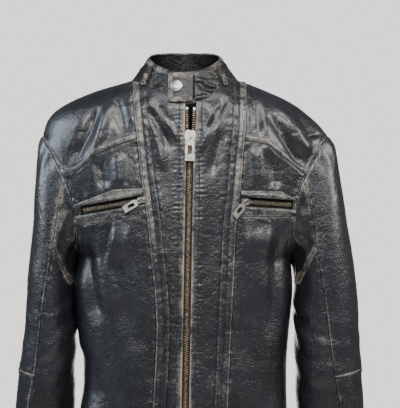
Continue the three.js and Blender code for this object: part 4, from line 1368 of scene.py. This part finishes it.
def leather_material(name, base, worn, tan, rough, gloss):
    """Black grained hide. Its finish is rubbed off in flecks where the wear attribute is high."""
    look = Look(name)
    shader = look.shader
    wear = look.add("ShaderNodeAttribute", attribute_name="wear").outputs["Fac"]
    painted_groove_shade = look.add("ShaderNodeAttribute", attribute_name="painted_groove_shade").outputs["Fac"]
    cloud = look.texture("ShaderNodeTexNoise", Scale=9.0, Detail=6.0, Roughness=0.6)
    blotch = look.texture("ShaderNodeTexNoise", Scale=45.0, Detail=8.0, Roughness=0.65)
    speck = look.texture("ShaderNodeTexNoise", Scale=360.0, Detail=5.0, Roughness=0.7)
    creases = look.texture("ShaderNodeTexNoise", Scale=120.0, Detail=5.0, Roughness=0.6)
    pebble = look.texture("ShaderNodeTexVoronoi", "Distance", feature="SMOOTH_F1", Scale=300.0)
    valleys = look.texture("ShaderNodeTexVoronoi", "Distance", feature="DISTANCE_TO_EDGE", Scale=210.0)

    broken = look.add("ShaderNodeMath", operation="ADD")
    look.link(look.scaled(speck, 1.5, -0.75), broken.inputs[0])
    look.link(look.scaled(blotch, 1.1, -0.55), broken.inputs[1])
    rubbed = look.scaled(wear, 1.15, broken.outputs[0])
    mask = look.map_range(rubbed, 0.26, 1.1)
    hide = look.ramp(cloud, [(0.32, base[0]), (0.68, base[1])])
    colour = look.blend(mask, hide, look.ramp(rubbed, [(0.55, worn), (1.0, tan)]))
    # Painted shade: where the groove shade mask is high, seams, stitch rows and creases are darkened
    # almost to black.
    colour = look.blend(look.scaled(painted_groove_shade, 0.92, 0.0), colour, PAINTED_SHADE_COLOUR)
    look.link(colour, shader.inputs["Base Color"])

    shine = look.map_range(blotch, 0.3, 0.7, *rough)
    look.link(look.scaled(mask, 0.16, shine), shader.inputs["Roughness"])
    shader.inputs["Specular IOR Level"].default_value = gloss[0]
    shader.inputs["Coat Weight"].default_value = gloss[1]
    shader.inputs["Coat Roughness"].default_value = 0.27
    # Grain: pebbles of about 3 mm between fine valleys, over softer creases.
    look.roughen([
        (creases, 0.5, 0.0022), (valleys, 0.6, 0.0010), (pebble, 0.5, 0.0011), (speck, 0.25, 0.0008),
    ])
    return look.material


def cloth_material(name, colours, scale):
    look = Look(name)
    weave = look.texture("ShaderNodeTexWave", Scale=scale, Distortion=1.2, bands_direction="DIAGONAL")
    mottle = look.texture("ShaderNodeTexNoise", Scale=scale / 6, Detail=5.0)
    colour = look.ramp(mottle, [(0.35, colours[0]), (0.7, colours[1])])
    look.link(colour, look.shader.inputs["Base Color"])
    look.roughen([(weave, 0.4, 0.0003)])
    look.shader.inputs["Roughness"].default_value = 0.85
    return look.material


def metal_material(name, bright, dull, rough):
    """Metal with darker and rougher stains."""
    look = Look(name)
    stain = look.texture("ShaderNodeTexNoise", Scale=260.0, Detail=6.0, Roughness=0.65)
    look.link(look.ramp(stain, [(0.35, dull), (0.62, bright)]), look.shader.inputs["Base Color"])
    look.link(look.map_range(stain, 0.0, 1.0, rough + 0.18, rough - 0.1), look.shader.inputs["Roughness"])
    look.shader.inputs["Metallic"].default_value = 1.0
    look.roughen([(stain, 0.15, 0.0003)])
    return look.material


# ---------- carried-over CAD pieces ----------

def finish_cad(names, material, bevel):
    for name in names:
        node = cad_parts[name]
        node.data.materials.clear()
        node.data.materials.append(material)
        if bevel:
            modifier = node.modifiers.new("edge", "BEVEL")
            modifier.width = bevel
            modifier.segments = 3
            modifier.limit_method = "ANGLE"
            modifier.angle_limit = 0.6


def both_sides(*names):
    return [f"{name}_{side}" for name in names for side in SIDES]


# ---------- stage ----------

def build_floor():
    """Pale floor that fades out before its edge."""
    bpy.ops.mesh.primitive_plane_add(size=8, location=(0, 0, -1.45))
    floor = bpy.context.object
    look = Look("pale_floor")
    look.shader.inputs["Base Color"].default_value = (0.76, 0.745, 0.715, 1)
    look.shader.inputs["Roughness"].default_value = 0.9
    radius = look.add("ShaderNodeVectorMath", operation="LENGTH")
    look.link(look.add("ShaderNodeTexCoord").outputs["Object"], radius.inputs[0])
    mix = look.add("ShaderNodeMixShader")
    look.link(look.map_range(radius.outputs["Value"], 2.0, 3.8), mix.inputs["Fac"])
    look.link(look.shader.outputs["BSDF"], mix.inputs[1])
    look.link(look.add("ShaderNodeBsdfTransparent").outputs["BSDF"], mix.inputs[2])
    look.link(mix.outputs["Shader"], look.tree.nodes["Material Output"].inputs["Surface"])
    floor.data.materials.append(look.material)


def build_room():
    """Pale room around the jacket, seen brighter than the light it gives."""
    world = bpy.data.worlds.new("room")
    bpy.context.scene.world = world
    world.use_nodes = True
    tree = world.node_tree
    light = tree.nodes["Background"]
    light.inputs["Color"].default_value = (0.90, 0.95, 1.0, 1)
    light.inputs["Strength"].default_value = 0.12
    seen = tree.nodes.new("ShaderNodeBackground")
    seen.inputs["Color"].default_value = (0.90, 0.875, 0.845, 1)
    seen.inputs["Strength"].default_value = 1.75
    mix = tree.nodes.new("ShaderNodeMixShader")
    rays = tree.nodes.new("ShaderNodeLightPath")
    tree.links.new(rays.outputs["Is Camera Ray"], mix.inputs["Fac"])
    tree.links.new(light.outputs["Background"], mix.inputs[1])
    tree.links.new(seen.outputs["Background"], mix.inputs[2])
    tree.links.new(mix.outputs["Shader"], tree.nodes["World Output"].inputs["Surface"])


# Area lamps: name, place, what they point at, size, watts, colour.
LAMPS = [
    ("ceiling", (0.1, -1.0, 1.5), (0.0, 0.0, -0.15), 0.8, 24, (1.0, 0.985, 0.96)),
    ("front_high", (-0.1, -1.3, 0.42), (0.0, 0.0, -0.1), 0.35, 13, (1.0, 0.985, 0.96)),
    ("softbox_left", (-1.0, -1.7, 1.15), (-0.05, 0, -0.1), 0.4, 9, (0.92, 0.96, 1.0)),
    ("softbox_right", (1.0, -1.7, 1.15), (0.05, 0, -0.1), 0.4, 33, (1.0, 0.98, 0.95)),
    ("window_left", (-2.2, -0.4, 0.6), (0, 0, -0.3), 1.2, 54, (0.78, 0.89, 1.0)),
    ("lamp_right", (2.2, -0.5, 0.7), (0, 0, -0.3), 1.0, 44, (1.0, 0.98, 0.95)),
    ("back_fill", (-0.2, 2.4, -0.45), (0, 0, -0.3), 1.8, 36, (1.0, 0.985, 0.96)),
]


def build_lamps():
    for name, spot, target, size, power, colour in LAMPS:
        light = bpy.data.lights.new(name, "AREA")
        light.size = size
        light.energy = power
        light.color = colour
        lamp = bpy.data.objects.new(name, light)
        bpy.context.collection.objects.link(lamp)
        lamp.location = spot
        lamp.rotation_euler = (Vector(target) - Vector(spot)).to_track_quat("-Z", "Y").to_euler()


def build_camera():
    camera = bpy.data.objects.new("camera", bpy.data.cameras.new("camera"))
    bpy.context.collection.objects.link(camera)
    camera.location = (0.0255, -1.8, -0.2006)
    camera.rotation_euler = (np.pi / 2, 0, 0)
    camera.data.lens = 93.4
    camera.data.sensor_width = 36
    bpy.context.scene.camera = camera


# Roughness runs between two values, and gloss is the specular level and the weight of the coat.
leather = leather_material(
    "worn_leather", base=[(0.004, 0.0045, 0.006), (0.011, 0.012, 0.016)],
    worn=(0.18, 0.175, 0.168), tan=(0.235, 0.185, 0.135), rough=(0.33, 0.48), gloss=(0.42, 0.45))
collar_leather = leather_material(
    "worn_collar", base=[(0.003, 0.003, 0.004), (0.010, 0.010, 0.011)],
    worn=(0.16, 0.152, 0.14), tan=(0.21, 0.17, 0.125), rough=(0.34, 0.50), gloss=(0.30, 0.16))
lining_cloth = cloth_material("lining_cloth", [(0.008, 0.008, 0.010), (0.018, 0.018, 0.022)], 900)
tape_cloth = cloth_material("zip_tape_cloth", [(0.010, 0.009, 0.008), (0.035, 0.024, 0.015)], 1500)
thread = cloth_material("thread", [(0.02, 0.02, 0.02), (0.06, 0.055, 0.05)], 2500)
teeth_metal = metal_material("antique_brass", (0.27, 0.20, 0.14), (0.06, 0.045, 0.035), 0.40)
chain_metal = metal_material("dull_brass", (0.40, 0.36, 0.28), (0.10, 0.09, 0.065), 0.36)
zip_metal = metal_material("worn_nickel", (0.54, 0.52, 0.49), (0.20, 0.185, 0.17), 0.30)
snap_metal = metal_material("snap_nickel", (0.42, 0.41, 0.40), (0.20, 0.195, 0.19), 0.33)

for side in SIDES:
    place(build_front(side, leather))
    build_sleeve(side, leather)
place(build_back(leather))
build_lining(lining_cloth)
build_collar(collar_leather)
build_tab(collar_leather)
build_snap_cap(snap_metal)
build_main_teeth(teeth_metal)
for side in SIDES:
    build_pocket_teeth(side, chain_metal)
build_stitches(thread)
finish_cad(both_sides("zip_tape", "pocket_tape"), tape_cloth, 0)
finish_cad(both_sides("pocket_bag") + ["hanger_loop"], lining_cloth, 0.0004)
zip_parts = both_sides("zip_top_stop", "pocket_slider", "pocket_pull", "collar_slider", "collar_pull")
zip_parts += ["zip_bottom_box", "main_slider", "main_slider_back", "main_pull"]
finish_cad(zip_parts, zip_metal, 0.0005)
finish_cad(both_sides("collar_zip"), tape_cloth, 0.0002)
finish_cad(["snap_socket", "snap_stud", "snap_post"], snap_metal, 0.0003)
build_floor()
build_room()
build_lamps()
build_camera()
